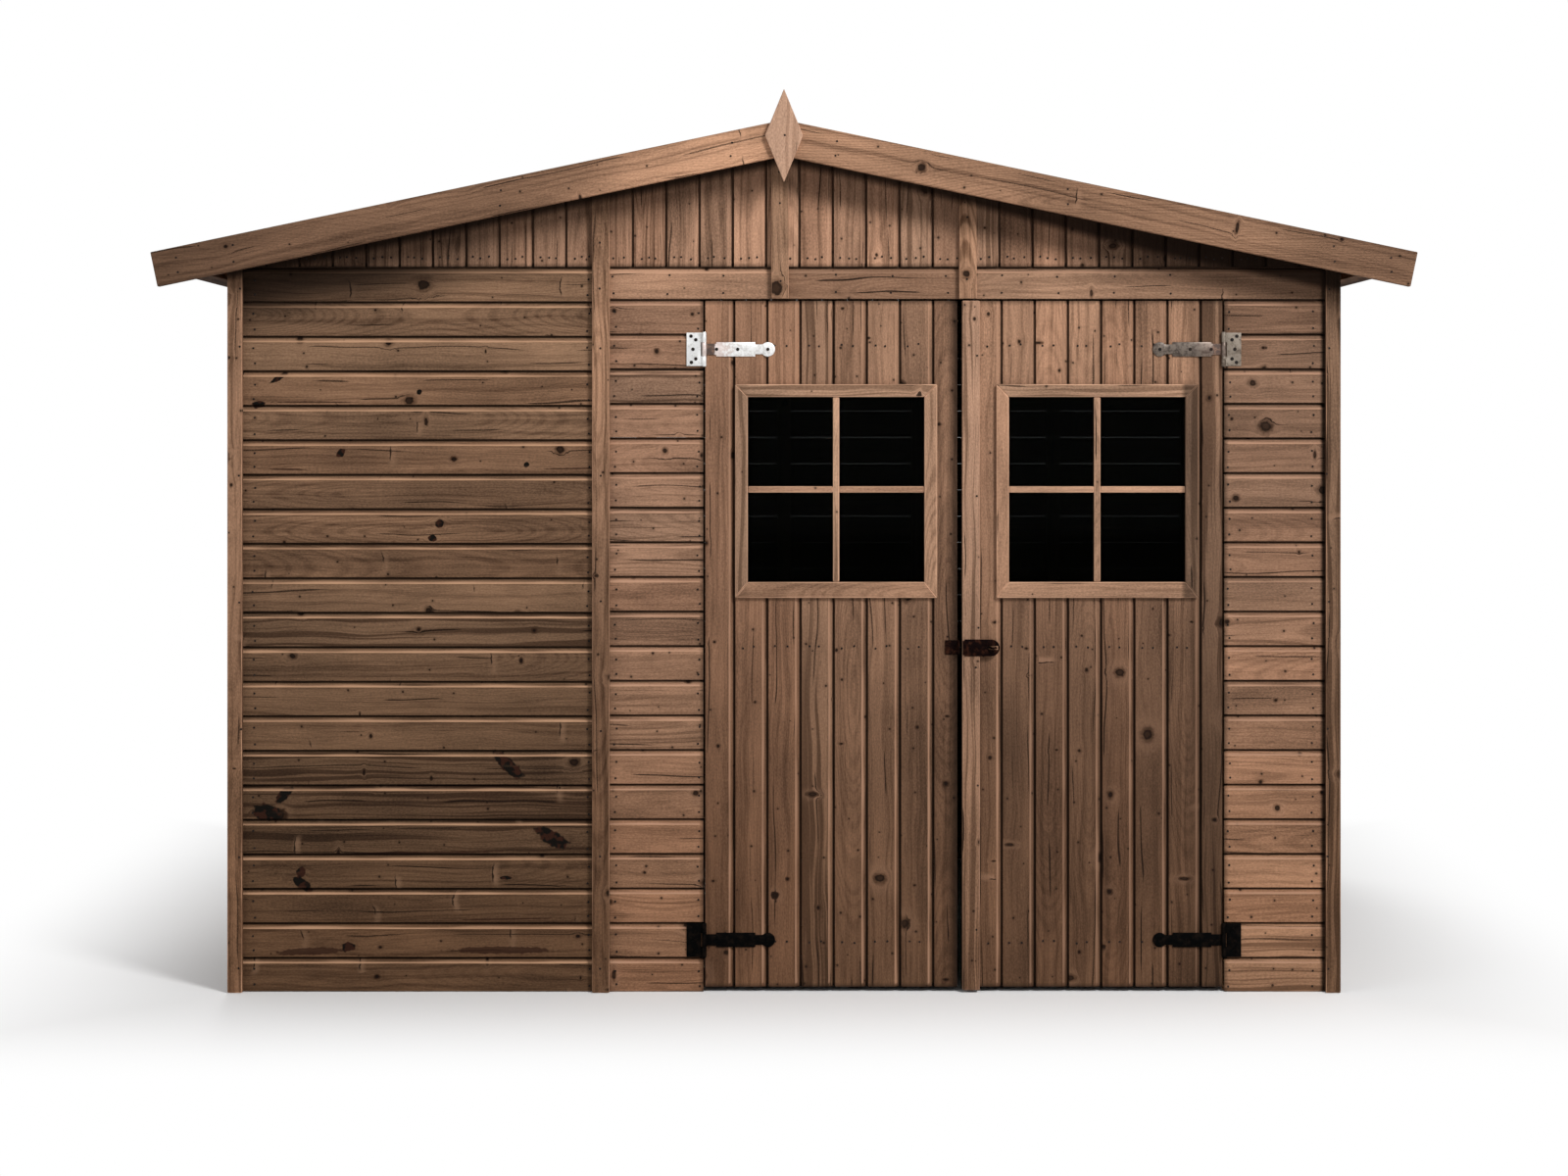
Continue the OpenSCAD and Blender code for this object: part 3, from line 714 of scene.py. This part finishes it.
zinc = plain_metal("zinc", (0.78, 0.78, 0.77), (0.55, 0.54, 0.52), 0.55, 0.32, 0.5)
dull_zinc = plain_metal("dull_zinc", (0.19, 0.157, 0.124), (0.075, 0.054, 0.039), 0.2, 0.5, 0.7,
                        0.3)
black_iron = plain_metal("black_iron", (0.001, 0.001, 0.001), (0.006, 0.004, 0.003), 0.0, 0.6,
                         0.75, 0.02)
rusty_steel = plain_metal("rusty_steel", (0.003, 0.001, 0.001), (0.032, 0.011, 0.006), 0.0, 0.6,
                          0.8, 0.02)
nail_steel = plain_metal("nail_steel", (0.007, 0.005, 0.004), (0.025, 0.014, 0.010), 0.0, 0.55,
                         0.7, 0.12)
strap_finish = {
    "left": worn_strap("zinc_strap_left", (0.80, 0.80, 0.79), (0.60, 0.58, 0.56),
                       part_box("left_top_strap")[0].x + PIN_IN, 1.0),
    "right": worn_strap("zinc_strap_right", (0.125, 0.098, 0.078), (0.040, 0.028, 0.021),
                        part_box("right_top_strap")[1].x - PIN_IN, -1.0),
}
mineral_felt = felt_finish()
window_pane = pane_finish()


# ---- boards ----

FACINGS = {"front": 0.0, "right": math.radians(90), "back": math.pi, "left": math.radians(-90)}


def plain_run(name, length, pitch, count):
    """A stack of equal boards, each with its scooped upper edge, its tongue and the cuts
    that its finish needs."""
    top = pitch - JOINT
    shoulder = pitch - GROOVE
    run = new_block(name, (0, 0, 0), (length, BOARD_T, shoulder))
    edit_all(run)
    bpy.ops.mesh.bisect(plane_co=(0, TONGUE_Y, 0), plane_no=(0, 1, 0))
    leave_edit()
    edit_where(run, "FACE", lambda p: p.z > shoulder - TINY and p.y > TONGUE_Y - TINY)
    bpy.ops.mesh.extrude_region_move(
        TRANSFORM_OT_translate={"value": (0, 0, top - shoulder)})
    leave_edit()
    edit_where(run, "EDGE", lambda p: p.y < TINY and p.z > shoulder - TINY)
    bpy.ops.mesh.bevel(offset=COVE_H, segments=4, profile=0.22, affect="EDGES")
    leave_edit()
    edit_where(run, "VERT", lambda p: TINY < p.y < COVE_H + TINY and
               abs(p.y - TONGUE_Y) > TINY)
    bpy.ops.transform.resize(value=(1, COVE_D / COVE_H, 1), center_override=(0, 0, 0))
    leave_edit()
    edit_where(run, "EDGE", lambda p: p.y < TINY and p.z < TINY)
    bpy.ops.mesh.bevel(offset=EDGE, segments=2, affect="EDGES")
    for cut, across in (((0, 0, shoulder - COVE_H - 0.002), (0, 0, 1)),
                        ((END_DIRT_AND_SHADE, 0, 0), (1, 0, 0)),
                        ((length - END_DIRT_AND_SHADE, 0, 0), (1, 0, 0))):
        bpy.ops.mesh.select_all(action="SELECT")
        bpy.ops.mesh.bisect(plane_co=cut, plane_no=across)
    leave_edit()
    return repeat(run, count, (0, 0, pitch))


def board_run(name, length, pitch, count, rng, resinous=()):
    """A stack of boards: length along X, outer face at y = 0, first edge at z = 0. Each
    stands back a little from the next. The resinous ones are dark and stripy."""
    run = plain_run(name, length, pitch, count)
    scoop = pitch - GROOVE - COVE_H

    def row_of(p):
        return min(count - 1, max(0, int((p.z + TINY) / pitch)))

    def place(p):
        row = row_of(p)
        up = p.z - row * pitch
        wear_light_and_shade = 0.0
        if up > scoop - TINY:
            # on the scoop: a painted highlight with paler rubbed stain at its foot, turning to
            # painted shade at its top under the next board's lip
            wear_light_and_shade = 1.0 - 1.4 * (up - scoop) / COVE_H
            # in the tongue's face, down in the joint: painted shade
            if p.y > TONGUE_Y - TINY:
                wear_light_and_shade = -1.0 if p.y < BOARD_T - TINY else 0.0
        # dirt and painted shade at the board's ends, beside the strips
        if not TINY < p.x < length - TINY:
            wear_light_and_shade = min(wear_light_and_shade, 0.0) - 0.8
        return row, up - pitch / 2, wear_light_and_shade

    seeds = draw_seeds(rng, count)
    for row in resinous:
        seeds[row] = (0.1, seeds[row][1], 0.95)
    mark_grain(run, seeds, place)
    sets = [rng.uniform(0, SLACK) for _ in range(count)]
    for v in run.data.vertices:
        if v.co.y < TONGUE_Y - TINY:
            v.co.y += sets[row_of(v.co)]
    return run


def wall_boards(name, facing, start, length, height, rng, kind, rows=None, resinous=()):
    """Horizontal boards from the start's height up: as many as the rows, or as fit."""
    pitch = height / rows if rows else ROW
    count = rows or math.ceil(height / pitch)
    run = board_run(name, length, pitch, count, rng, resinous)
    turned(run, z=FACINGS[facing], at=start)
    if not rows:
        trim_away(run, (0, 0, start[2] + height), (0, 0, 1))
    return paint(run, stained(kind, "X" if facing in ("front", "back") else "Y"))


def upright_boards(name, facing, start, length, pitch, count, rng):
    """Upright boards that hang down from the start, each with its scoop to the right."""
    run = turned(board_run(name, length, pitch, count, rng), y=math.radians(90))
    return turned(run, z=FACINGS[facing], at=start)


def gable_boards(name, facing, rng):
    """Upright boards from the foot of the gable to the underside of both slopes."""
    lo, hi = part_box("front_gable_boards")
    pitch = (hi.x - lo.x) / GABLE_BOARDS
    length = hi.z - lo.z + 0.01
    out = 1 if facing == "front" else -1
    run = upright_boards(name, facing, (out * lo.x, out * face_y, lo.z + length), length,
                         pitch, GABLE_BOARDS, rng)
    for side in (-1, 1):
        trim_away(run, (0, 0, hi.z), (side * math.sin(PITCH), 0, math.cos(PITCH)))
    return paint(run, stained("gable", "Z"))


# ---- CAD pieces given rounded edges and their own grain ----

def mark_piece(piece, grain, rng, wear_light_and_shade=0.7):
    """Marks a single square-sawn piece, with its rounded edges rubbed and given a painted
    highlight.
    """
    lo, hi = extent(piece)
    axis = 0 if grain == "Z" else 2
    middle = (lo[axis] + hi[axis]) / 2

    def place(p):
        on_face = any(p[i] < lo[i] + TINY or p[i] > hi[i] - TINY for i in range(3))
        return 0, p[axis] - middle, 0.0 if on_face else wear_light_and_shade

    return mark_grain(piece, draw_seeds(rng, 1), place)


def bare_parts(node):
    """Clean copies of a node's solids, in a settled order."""
    twin = copy_of(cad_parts[node])
    for key in list(twin.keys()):
        del twin[key]
    twin.parent = None
    twin.name = node + "_finished"
    edit_where(twin, "VERT", lambda p: True)
    bpy.ops.mesh.remove_doubles(threshold=1e-6)
    bpy.ops.mesh.dissolve_limited(angle_limit=math.radians(1))
    leave_edit()
    edit_all(twin)
    bpy.ops.mesh.separate(type="LOOSE")
    leave_edit()
    return sorted(bpy.context.selected_objects,
                  key=lambda o: tuple(round(v, 4) for v in extent(o)[0]))


def dressed(node, slot, kind, edge=EDGE, tilted=False, body="root"):
    """Copies of a node's solids with rounded edges, each with grain along its length."""
    rng = random.Random(node)
    parts = bare_parts(node)
    for part in parts:
        lo, hi = extent(part)
        size = hi - lo
        grain = "XYZ"[max(range(3), key=lambda i: size[i])]
        tilt = math.copysign(PITCH, (lo + hi).x) if tilted else 0.0
        round_edges(part, edge)
        mark_piece(part, grain, rng, wear_light_and_shade=0.0 if tilted else 0.7)
        paint(part, stained(kind, grain, -tilt))
    return keep(joined(node + "_finished", parts), body, slot, node)


# ---- nails and screws ----

def head_blank(radius, height, sides, sink):
    """One nail or screw head standing out of a wall at the origin, facing the front."""
    bpy.ops.object.select_all(action="DESELECT")
    bpy.ops.mesh.primitive_cylinder_add(vertices=sides, radius=radius, depth=2 * height,
                                        location=(0, 0, 0), rotation=(math.radians(90), 0, 0))
    head = settle(bpy.context.object)
    edit_where(head, "FACE", lambda p: p.y < -height + TINY)
    bpy.ops.mesh.inset(thickness=radius * 0.28)
    bpy.ops.transform.translate(value=(0, sink, 0))
    leave_edit()
    return head


def scattered(name, blank, places, rng, wander=0.0):
    """Copies of a head at places, each a little off its mark."""
    parts = []
    for x, y, z in places:
        twin = copy_of(blank)
        twin.location = (x + rng.uniform(-wander, wander), y, z + rng.uniform(-wander, wander))
        parts.append(twin)
    bpy.data.objects.remove(blank)
    return settle(joined(name, parts))


def nails(name, body, facing, spots, face=None):
    """Nail heads on a wall. Spots are (across, up), seen in the wall's own facing."""
    blank = head_blank(NAIL_R, 0.0009, 8, 0.0005)
    group = scattered(name, blank, [(x, 0, z) for x, z in spots], random.Random(name), 0.0035)
    angle = FACINGS[facing]
    out = face or (half_d if facing in ("front", "back") else half_w)
    turned(group, z=angle, at=(math.sin(angle) * out, -math.cos(angle) * out, 0))
    return keep(paint(group, nail_steel), body, "rusty_steel")


def row_pairs(columns, count, pitch):
    """Two nails in each board, in upright columns."""
    return [(x, pitch * (i + part)) for x in columns for i in range(count)
            for part in (0.17, 0.62)]


def screws(name, body, places, material, slot, radius):
    blank = head_blank(radius, 0.0012, 14, 0.0007)
    group = scattered(name, blank, places, random.Random(name))
    return keep(paint(group, material), body, slot)


def build_nails():
    left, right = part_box("front_left_panel")[0].x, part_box("boards_right_of_door")[1].x
    short_lo, short_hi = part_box("boards_left_of_door")
    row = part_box("front_left_panel")[1].z / PANEL_ROWS
    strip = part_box("front_cover_strips")[0].x
    corner = 0.040
    nails("panel_nails", "root", "front",
          row_pairs((left + corner + 0.010, strip - 0.010), PANEL_ROWS, row))
    nails("short_board_nails", "root", "front",
          row_pairs((short_lo.x + 0.036, short_hi.x - 0.012,
                     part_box("boards_right_of_door")[0].x + 0.012, right - corner - 0.014),
                    SHORT_ROWS, short_hi.z / SHORT_ROWS))
    gable_lo, gable_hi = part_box("front_gable_boards")
    pitch = (gable_hi.x - gable_lo.x) / GABLE_BOARDS
    nails("gable_nails", "root", "front",
          [(gable_lo.x + pitch * (i + part), gable_lo.z + 0.022)
           for i in range(2, GABLE_BOARDS - 2) for part in (0.2, 0.42, 0.68)])
    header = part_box("header_boards")[0]
    nails("header_nails", "root", "front",
          [(header.x + 0.03 + step * 0.14, header.z + up) for step in range(11)
           for up in (0.014, 0.058)])
    nails("back_nails", "root", "back",
          row_pairs([0.448 * k for k in range(-3, 4)], PANEL_ROWS, row))
    first, second = HEADER_JOINTS
    nails("strip_nails", "root", "front",
          [(x, z) for x in (left + 0.018, right - 0.018, strip + 0.022)
           for z in (0.06, 0.34, 0.66, 0.98, 1.30, 1.62, 1.77)] +
          [(strip + 0.022, 1.88), (first, 1.79), (first, 1.98), (first, 2.06),
           (second, 1.79), (second, 1.95)], face=half_d + STRIP_T)
    for side, edge in FIRST_EDGE.items():
        nails(side + "_door_nails", side + "_door", "front",
              [(edge + DOOR_BOARD * (k + part), z) for k in range(-1, 6)
               for part in (0.22, 0.55) for z in (0.124, 0.866, 1.626)
               if -0.19 < edge + DOOR_BOARD * k < 1.06])
    nails("meeting_strip_nails", "right_door", "front",
          [(0.485, z) for z in (0.16, 0.52, 0.818, 0.915, 1.25, 1.60)],
          face=half_d + MEETING_T)
    barge_lo, barge_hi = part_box("front_right_bargeboard")
    nails("bargeboard_nails", "root", "front",
          [(side * x, barge_hi.z - x * SLOPE - drop) for side in (-1, 1)
           for x in (0.13, 0.70, 1.36, 1.50) for drop in (0.028, 0.064)], face=-barge_lo.y)
    finial_lo, finial_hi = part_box("front_finial")
    nails("finial_nail", "root", "front", [(0, (finial_lo.z + finial_hi.z) / 2)],
          face=-finial_lo.y - FINIAL_SINK)
    columns = (-half_d + 0.055, -0.4968, -0.030, 0.030, 0.4968, half_d - 0.055)
    for facing in ("left", "right"):
        nails(facing + "_side_nails", "root", facing, row_pairs(columns, PANEL_ROWS, ROW))


# ---- ironmongery ----

def dressed_iron(node, body, slot, finish_of):
    """A fitting's solids with eased edges, each finished by where it is."""
    parts = bare_parts(node)
    for part in parts:
        round_edges(part, 0.0005)
        lo, hi = extent(part)
        paint(part, finish_of((lo + hi) / 2, hi - lo))
        activate(part)
        bpy.ops.object.shade_smooth_by_angle(angle=math.radians(35))
    return keep(joined(node + "_finished", parts), body, slot, node)


def hinge_screws(side, level, material, slot):
    """Five screws in a hinge's plate and three in its strap."""
    plate_lo, plate_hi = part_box(level + "_hinge_plates")
    strap_lo, strap_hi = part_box(f"{side}_{level}_strap")
    mid = (strap_lo.z + strap_hi.z) / 2
    front = face_y - IRON_T
    hand, outer, end = ((1, plate_lo.x, strap_lo.x) if side == "left" else
                        (-1, plate_hi.x, strap_hi.x))
    on_plate = [(outer + hand * x, front, mid + z) for x, z in
                ((0.011, 0.033), (0.023, 0.024), (0.016, 0.0), (0.023, -0.024), (0.012, -0.033))]
    on_strap = [(end + hand * (PIN_IN + d), front, mid) for d in (0.031, 0.084, 0.160)]
    name = level + "_" + side
    screws(name + "_plate_screws", "root", on_plate, material, slot, 0.0044)
    screws(name + "_strap_screws", side + "_door", on_strap, material, slot, 0.0042)


def build_ironmongery():
    def bright_left(middle, size):
        return zinc if middle.x < 0.45 else dull_zinc

    def bright_staple(middle, size):
        return zinc if size.x < 0.012 and size.z > 0.01 else rusty_steel

    dressed_iron("top_hinge_plates", "root", "galvanised_steel", bright_left)
    dressed_iron("bottom_hinge_plates", "root", "black_iron", lambda middle, size: black_iron)
    for side in ("left", "right"):
        body = side + "_door"
        dressed_iron(side + "_top_strap", body, "galvanised_steel",
                     lambda middle, size: strap_finish[side])
        dressed_iron(side + "_bottom_strap", body, "black_iron",
                     lambda middle, size: black_iron)
        hinge_screws(side, "top", nail_steel, "galvanised_steel")
        hinge_screws(side, "bottom", black_iron, "black_iron")
    dressed_iron("hasp_plate", "left_door", "rusty_steel", lambda middle, size: rusty_steel)
    dressed_iron("hasp_flap", "right_door", "rusty_steel", bright_staple)


# ---- walls ----

def build_front():
    rng = random.Random("front")
    for node, name, kind, rows, resinous in (
            ("front_left_panel", "left_panel_boards", "panel", PANEL_ROWS, RESINOUS_ROWS),
            ("boards_left_of_door", "short_boards_left", "short", SHORT_ROWS, ()),
            ("boards_right_of_door", "short_boards_right", "right short", SHORT_ROWS, ())):
        lo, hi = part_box(node)
        run = wall_boards(name, "front", (lo.x, face_y, 0), hi.x - lo.x, hi.z, rng, kind,
                          rows, resinous)
        keep(run, "root", "stained_wood", node)
    lo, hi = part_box("header_boards")
    joints = [lo.x, *HEADER_JOINTS, hi.x]
    parts = [wall_boards("header", "front", (x0, face_y, lo.z), x1 - x0, hi.z - lo.z, rng,
                         "header", rows=1) for x0, x1 in zip(joints, joints[1:])]
    keep(joined("header_boards_fitted", parts), "root", "stained_wood", "header_boards")
    keep(gable_boards("gable_boards_front", "front", rng), "root", "stained_wood",
         "front_gable_boards")
    for node in ("corner_boards", "side_cover_strips", "back_cover_strips"):
        dressed(node, "trim_wood", "trim", TRIM_EDGE)
    dressed("front_cover_strips", "trim_wood", "strip", TRIM_EDGE)


def build_sides_and_back():
    rng = random.Random("sides")
    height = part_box("left_wall_boards")[1].z
    for side, hand in (("left", -1), ("right", 1)):
        run = wall_boards(side + "_side_boards", side, (hand * half_w, -hand * half_d, 0),
                          2 * half_d, height, rng, "side")
        keep(run, "root", "stained_wood", side + "_wall_boards")
    lo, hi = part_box("back_wall_boards")
    low = wall_boards("back_low", "back", (hi.x, half_d, 0), hi.x - lo.x,
                      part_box("front_left_panel")[1].z, rng, "side", PANEL_ROWS)
    high = gable_boards("back_high", "back", rng)
    keep(joined("back_boards", [low, high]), "root", "stained_wood", "back_wall_boards")


def build_frame():
    for node in ("front_studs", "side_studs", "back_studs", "wall_rails", "ridge_beam",
                 "purlins"):
        dressed(node, "frame_wood", "frame", edge=0.0015)


# ---- roof ----

SIDES = ((-1, "left"), (1, "right"))


def on_roof(obj, side):
    """Turns a piece from slope space, +X down the slope from the ridge, onto one half."""
    if side < 0:
        turned(obj, z=math.pi)
    return turned(obj, y=side * PITCH, at=(0, 0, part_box("right_roof_boards")[1].z))


def roof_boards(side, name, rng):
    """Boards along the slope, with chamfered edges towards the inside."""
    node = name + "_roof_boards"
    lo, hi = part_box(node)
    length = max(abs(lo.x), abs(hi.x)) / math.cos(PITCH) + 0.02
    count = round((hi.y - lo.y) / ROOF_BOARD)
    pitch = (hi.y - lo.y) / count
    board = new_block(node + "_fitted", (0, 0, -ROOF_BOARD_T), (length, pitch - JOINT, 0))
    edit_where(board, "EDGE", lambda p: p.z < -ROOF_BOARD_T + TINY and
               (p.y < TINY or p.y > pitch - JOINT - TINY))
    bpy.ops.mesh.bevel(offset=0.003, segments=1, affect="EDGES")
    leave_edit()
    repeat(board, count, (0, pitch, 0))

    def place(p):
        row = min(count - 1, max(0, int((p.y + TINY) / pitch)))
        return row, p.y - (row + 0.5) * pitch, 0.0

    mark_grain(board, draw_seeds(rng, count), place)
    for v in board.data.vertices:
        v.co.y += lo.y
    on_roof(board, side)
    trim_away(board, (side * TINY, 0, 0), (-side, 0, 0))
    eave_x = max(abs(corner.x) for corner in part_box(name + "_felt"))
    trim_away(board, (side * eave_x, 0, hi.z - eave_x * SLOPE),
              (side * math.cos(PITCH), 0, -math.sin(PITCH)))
    paint(board, stained("frame", "X", -side * PITCH))
    return keep(board, "root", "roof_board_wood", node)


def build_roof():
    rng = random.Random("roof")
    for side, name in SIDES:
        roof_boards(side, name, rng)
    for node in ("front_left_bargeboard", "front_right_bargeboard", "rear_bargeboards",
                 "eaves_battens"):
        dressed(node, "trim_wood", "barge", edge=0.002, tilted="barge" in node)
    for node, sink in (("front_finial", FINIAL_SINK), ("rear_finial", 0.0)):
        finial = dressed(node, "trim_wood", "finial", edge=0.002)
        for v in finial.data.vertices:
            v.co.y += sink


def felt_sheet(name, top, foot, lift, rng):
    """One strip of felt in slope space, its foot lifted over the strip below."""
    lo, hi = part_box("right_felt")
    sheet = new_block(name, (top, lo.y, 0.0003), (foot, hi.y, FELT_T))
    edit_all(sheet)
    bpy.ops.mesh.subdivide(number_cuts=20)
    leave_edit()
    start = rng.uniform(0, 50)
    for v in sheet.data.vertices:
        down = (v.co.x - top) / (foot - top)
        ripple = noise.noise(Vector((v.co.x * 4 + start, v.co.y * 4, 0.0)))
        v.co.z += lift * down + 0.0003 * (1 + ripple)
    return sheet


def build_felt():
    """Three lapped strips and half of a ridge strip on each slope, turned down at the eaves."""
    rng = random.Random("felt")
    lo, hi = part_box("right_felt")
    length = hi.x / math.cos(PITCH) - 0.001
    for side, name in SIDES:
        strips = [felt_sheet(strip, top, foot, lift, rng) for strip, top, foot, lift in (
            ("eave_strip", 0.98, length, 0.0), ("middle_strip", 0.44, 1.05, FELT_T),
            ("upper_strip", 0.0, 0.51, FELT_T), ("ridge_strip", 0.0, 0.15, FELT_T))]
        for v in strips[-1].data.vertices:
            v.co.z += FELT_T * 0.9
        drip = new_block("drip", (length - 0.003, lo.y, -0.020), (length, hi.y, 0.0005))
        round_edges(drip, 0.001)
        sheet = on_roof(joined(name + "_felt_laid", strips + [drip]), side)
        trim_away(sheet, (0, 0, 0), (-side, 0, 0))
        keep(paint(sheet, mineral_felt), "root", "roofing_felt", name + "_felt")
        blank = turned(head_blank(0.0045, 0.0007, 8, 0.0002), x=math.radians(-90))
        spots = [(down, lo.y + 0.03 + step * 0.11, FELT_T + 0.0010 + rise)
                 for down, rise in ((0.135, 0.0055), (0.495, FELT_T), (1.035, FELT_T),
                                    (length - 0.03, 0.0))
                 for step in range(int((hi.y - lo.y - 0.03) / 0.11) + 1)]
        spots += [(0.2 + step * 0.15, y, FELT_T + 0.0013) for step in range(9)
                  for y in (lo.y + 0.02, hi.y - 0.02)]
        heads = on_roof(scattered(name + "_felt_nails", blank, spots, rng), side)
        keep(paint(heads, dull_zinc), "root", "galvanised_steel")


# ---- doors ----

def door_boards(side, kind):
    """Upright boards of a door, with the hole for its window."""
    node = side + "_door_boards"
    lo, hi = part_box(node)
    glass_lo, glass_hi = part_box(side + "_window_glass")
    start = FIRST_EDGE[side]
    start -= math.ceil((start - lo.x) / DOOR_BOARD) * DOOR_BOARD
    count = math.ceil((hi.x - start) / DOOR_BOARD)
    run = upright_boards(node + "_fitted", "front", (start, face_y, hi.z), hi.z - lo.z,
                         DOOR_BOARD, count, random.Random(node))
    trim_away(run, (lo.x, 0, 0), (-1, 0, 0))
    trim_away(run, (hi.x, 0, 0), (1, 0, 0))
    spare = Vector((0.004, 0, 0.004))
    run = cut_window(run, glass_lo - spare, glass_hi + spare)
    return keep(paint(run, stained(kind, "Z")), side + "_door", "door_wood", node)


def frame_member(name, low, high, cuts):
    """One moulded member of a window frame, with its mitred ends."""
    member = new_block(name, low, high)
    for point, normal in cuts:
        trim_away(member, point, normal)
    round_edges(member, 0.003, 3)
    grain = "X" if high[0] - low[0] > high[2] - low[2] else "Z"
    mark_piece(member, grain, random.Random(name))
    return paint(member, stained("casing", grain))


def window(side):
    """Mitred trim, lining and glazing bars of one door's window."""
    node = side + "_window_frame"
    lo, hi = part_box(node)
    glass_lo, glass_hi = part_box(side + "_window_glass")
    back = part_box(side + "_door_boards")[1].y
    rebate, lining, half_bar = 0.0037, 0.0078, BAR_W / 2
    x0, x1 = glass_lo.x + rebate, glass_hi.x - rebate
    z0, z1 = glass_lo.z + rebate, glass_hi.z - rebate
    sill, head, jamb = z0 - lo.z, hi.z - z1, x0 - lo.x
    parts = []

    def mitre(x, z, across, up):
        return (x, 0, z), Vector((across, 0, up)).normalized()

    def member(kind, low, high, *cuts):
        parts.append(frame_member(node + kind, low, high, cuts))

    member("_sill", lo, (hi.x, face_y, z0), mitre(lo.x, lo.z, -sill, jamb),
           mitre(hi.x, lo.z, sill, jamb))
    member("_head", (lo.x, lo.y, z1), (hi.x, face_y, hi.z), mitre(lo.x, hi.z, -head, -jamb),
           mitre(hi.x, hi.z, head, -jamb))
    for hand, corner, low, high in ((1, lo.x, lo.x, x0), (-1, hi.x, x1, hi.x)):
        member(f"_jamb{hand}", (low, lo.y, lo.z), (high, face_y, hi.z),
               mitre(corner, lo.z, hand * sill, -jamb), mitre(corner, hi.z, hand * head, jamb))
    for near, far in ((face_y + TINY, glass_lo.y), (glass_hi.y, back)):
        for low, high in ((x0 - lining, x0), (x1, x1 + lining)):
            member("_liner", (low, near, z0 - lining), (high, far, z1 + lining))
        for low, high in ((z0 - lining, z0), (z1, z1 + lining)):
            member("_liner", (x0, near, low), (x1, far, high))
    mid_x, mid_z = (x0 + x1) / 2, (z0 + z1) / 2
    for near, far in ((face_y - 0.008, glass_lo.y), (glass_hi.y, back + 0.003)):
        member("_bar", (mid_x - half_bar, near, z0), (mid_x + half_bar, far, z1))
        for low, high in ((x0, mid_x - half_bar), (mid_x + half_bar, x1)):
            member("_cross", (low, near + 0.001, mid_z - half_bar), (high, far, mid_z + half_bar))
    keep(joined(node + "_fitted", parts), side + "_door", "trim_wood", node)
    paint(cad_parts[side + "_window_glass"], window_pane)


def build_doors():
    door_boards("left", "door")
    door_boards("right", "right door")
    dressed("right_meeting_strip", "trim_wood", "post", TRIM_EDGE, body="right_door")
    for side in ("left", "right"):
        dressed(side + "_door_ledges", "frame_wood", "frame", body=side + "_door")
        window(side)


# ---- stage ----

def light_from_all_sides():
    """Soft white light, and a white background for the camera, mirrors and glass."""
    world = bpy.data.worlds.new("studio")
    bpy.context.scene.world = world
    w = Nodes(world)
    rays = w.node("LightPath").outputs
    seen = w.larger(rays["Is Camera Ray"], rays["Is Transmission Ray"])
    seen = w.larger(seen, rays["Is Glossy Ray"])
    background = w.tree.nodes["Background"].inputs
    background["Color"].default_value = (1, 1, 1, 1)
    w.feed(background["Strength"], w.made("MapRange", (seen, 0.0, 1.0, 0.34, 1.0)))


def pale_floor():
    """A floor that turns to plain white, for the camera alone, away from the walls."""
    bpy.ops.object.select_all(action="DESELECT")
    bpy.ops.mesh.primitive_plane_add(size=60, location=(0, 0, -0.001))
    floor = settle(bpy.context.object)
    floor.name = "floor"
    f = Finish("pale_floor")
    f.set(base_color=(0.92, 0.92, 0.92, 1.0), roughness=0.9)
    out_x, out_y, _ = f.split(f.vector("SUBTRACT", f.vector("ABSOLUTE", f.place()),
                                       (half_w, half_d, 0)))
    glow = f.node("Emission")
    glow.inputs["Strength"].default_value = 1.0
    by_camera = Value(f, f.node("LightPath").outputs["Is Camera Ray"])
    both = f.made("MixShader", (by_camera * f.fade(f.larger(out_x, out_y), 0.0, 0.9),
                                f.surface.outputs[0], glow.outputs[0]))
    f.feed(f.tree.nodes["Material Output"].inputs["Surface"], both)
    paint(floor, f.material)


def lamp(name, at, aim, size, power):
    data = bpy.data.lights.new(name, "AREA")
    data.shape = "DISK"
    data.size = size
    data.energy = power
    obj = bpy.data.objects.new(name, data)
    bpy.context.scene.collection.objects.link(obj)
    obj.location = at
    obj.rotation_euler = (Vector(aim) - Vector(at)).to_track_quat("-Z", "Y").to_euler()


def studio():
    light_from_all_sides()
    pale_floor()
    lamp("key", (3.2, -5.4, 4.6), (0, -0.6, 1.2), 1.6, 350)
    lamp("fill", (-5.0, -5.0, 3.0), (0, 0, 1.0), 4.0, 60)
    lamp("rear", (-1.5, 5.5, 5.0), (0, 0.6, 1.0), 3.0, 200)


def camera():
    data = bpy.data.cameras.new("front_view")
    obj = bpy.data.objects.new("front_view", data)
    bpy.context.scene.collection.objects.link(obj)
    obj.location = (0.0, face_y - 6.5, 1.41)
    obj.rotation_euler = (math.radians(90), 0, 0)
    data.sensor_width = 36.0
    data.lens = 59.3
    data.shift_y = -0.1
    bpy.context.scene.camera = obj
    bpy.context.scene.view_settings.view_transform = "Standard"


camera()
build_front()
build_sides_and_back()
build_frame()
build_roof()
build_felt()
build_doors()
build_nails()
build_ironmongery()
studio()
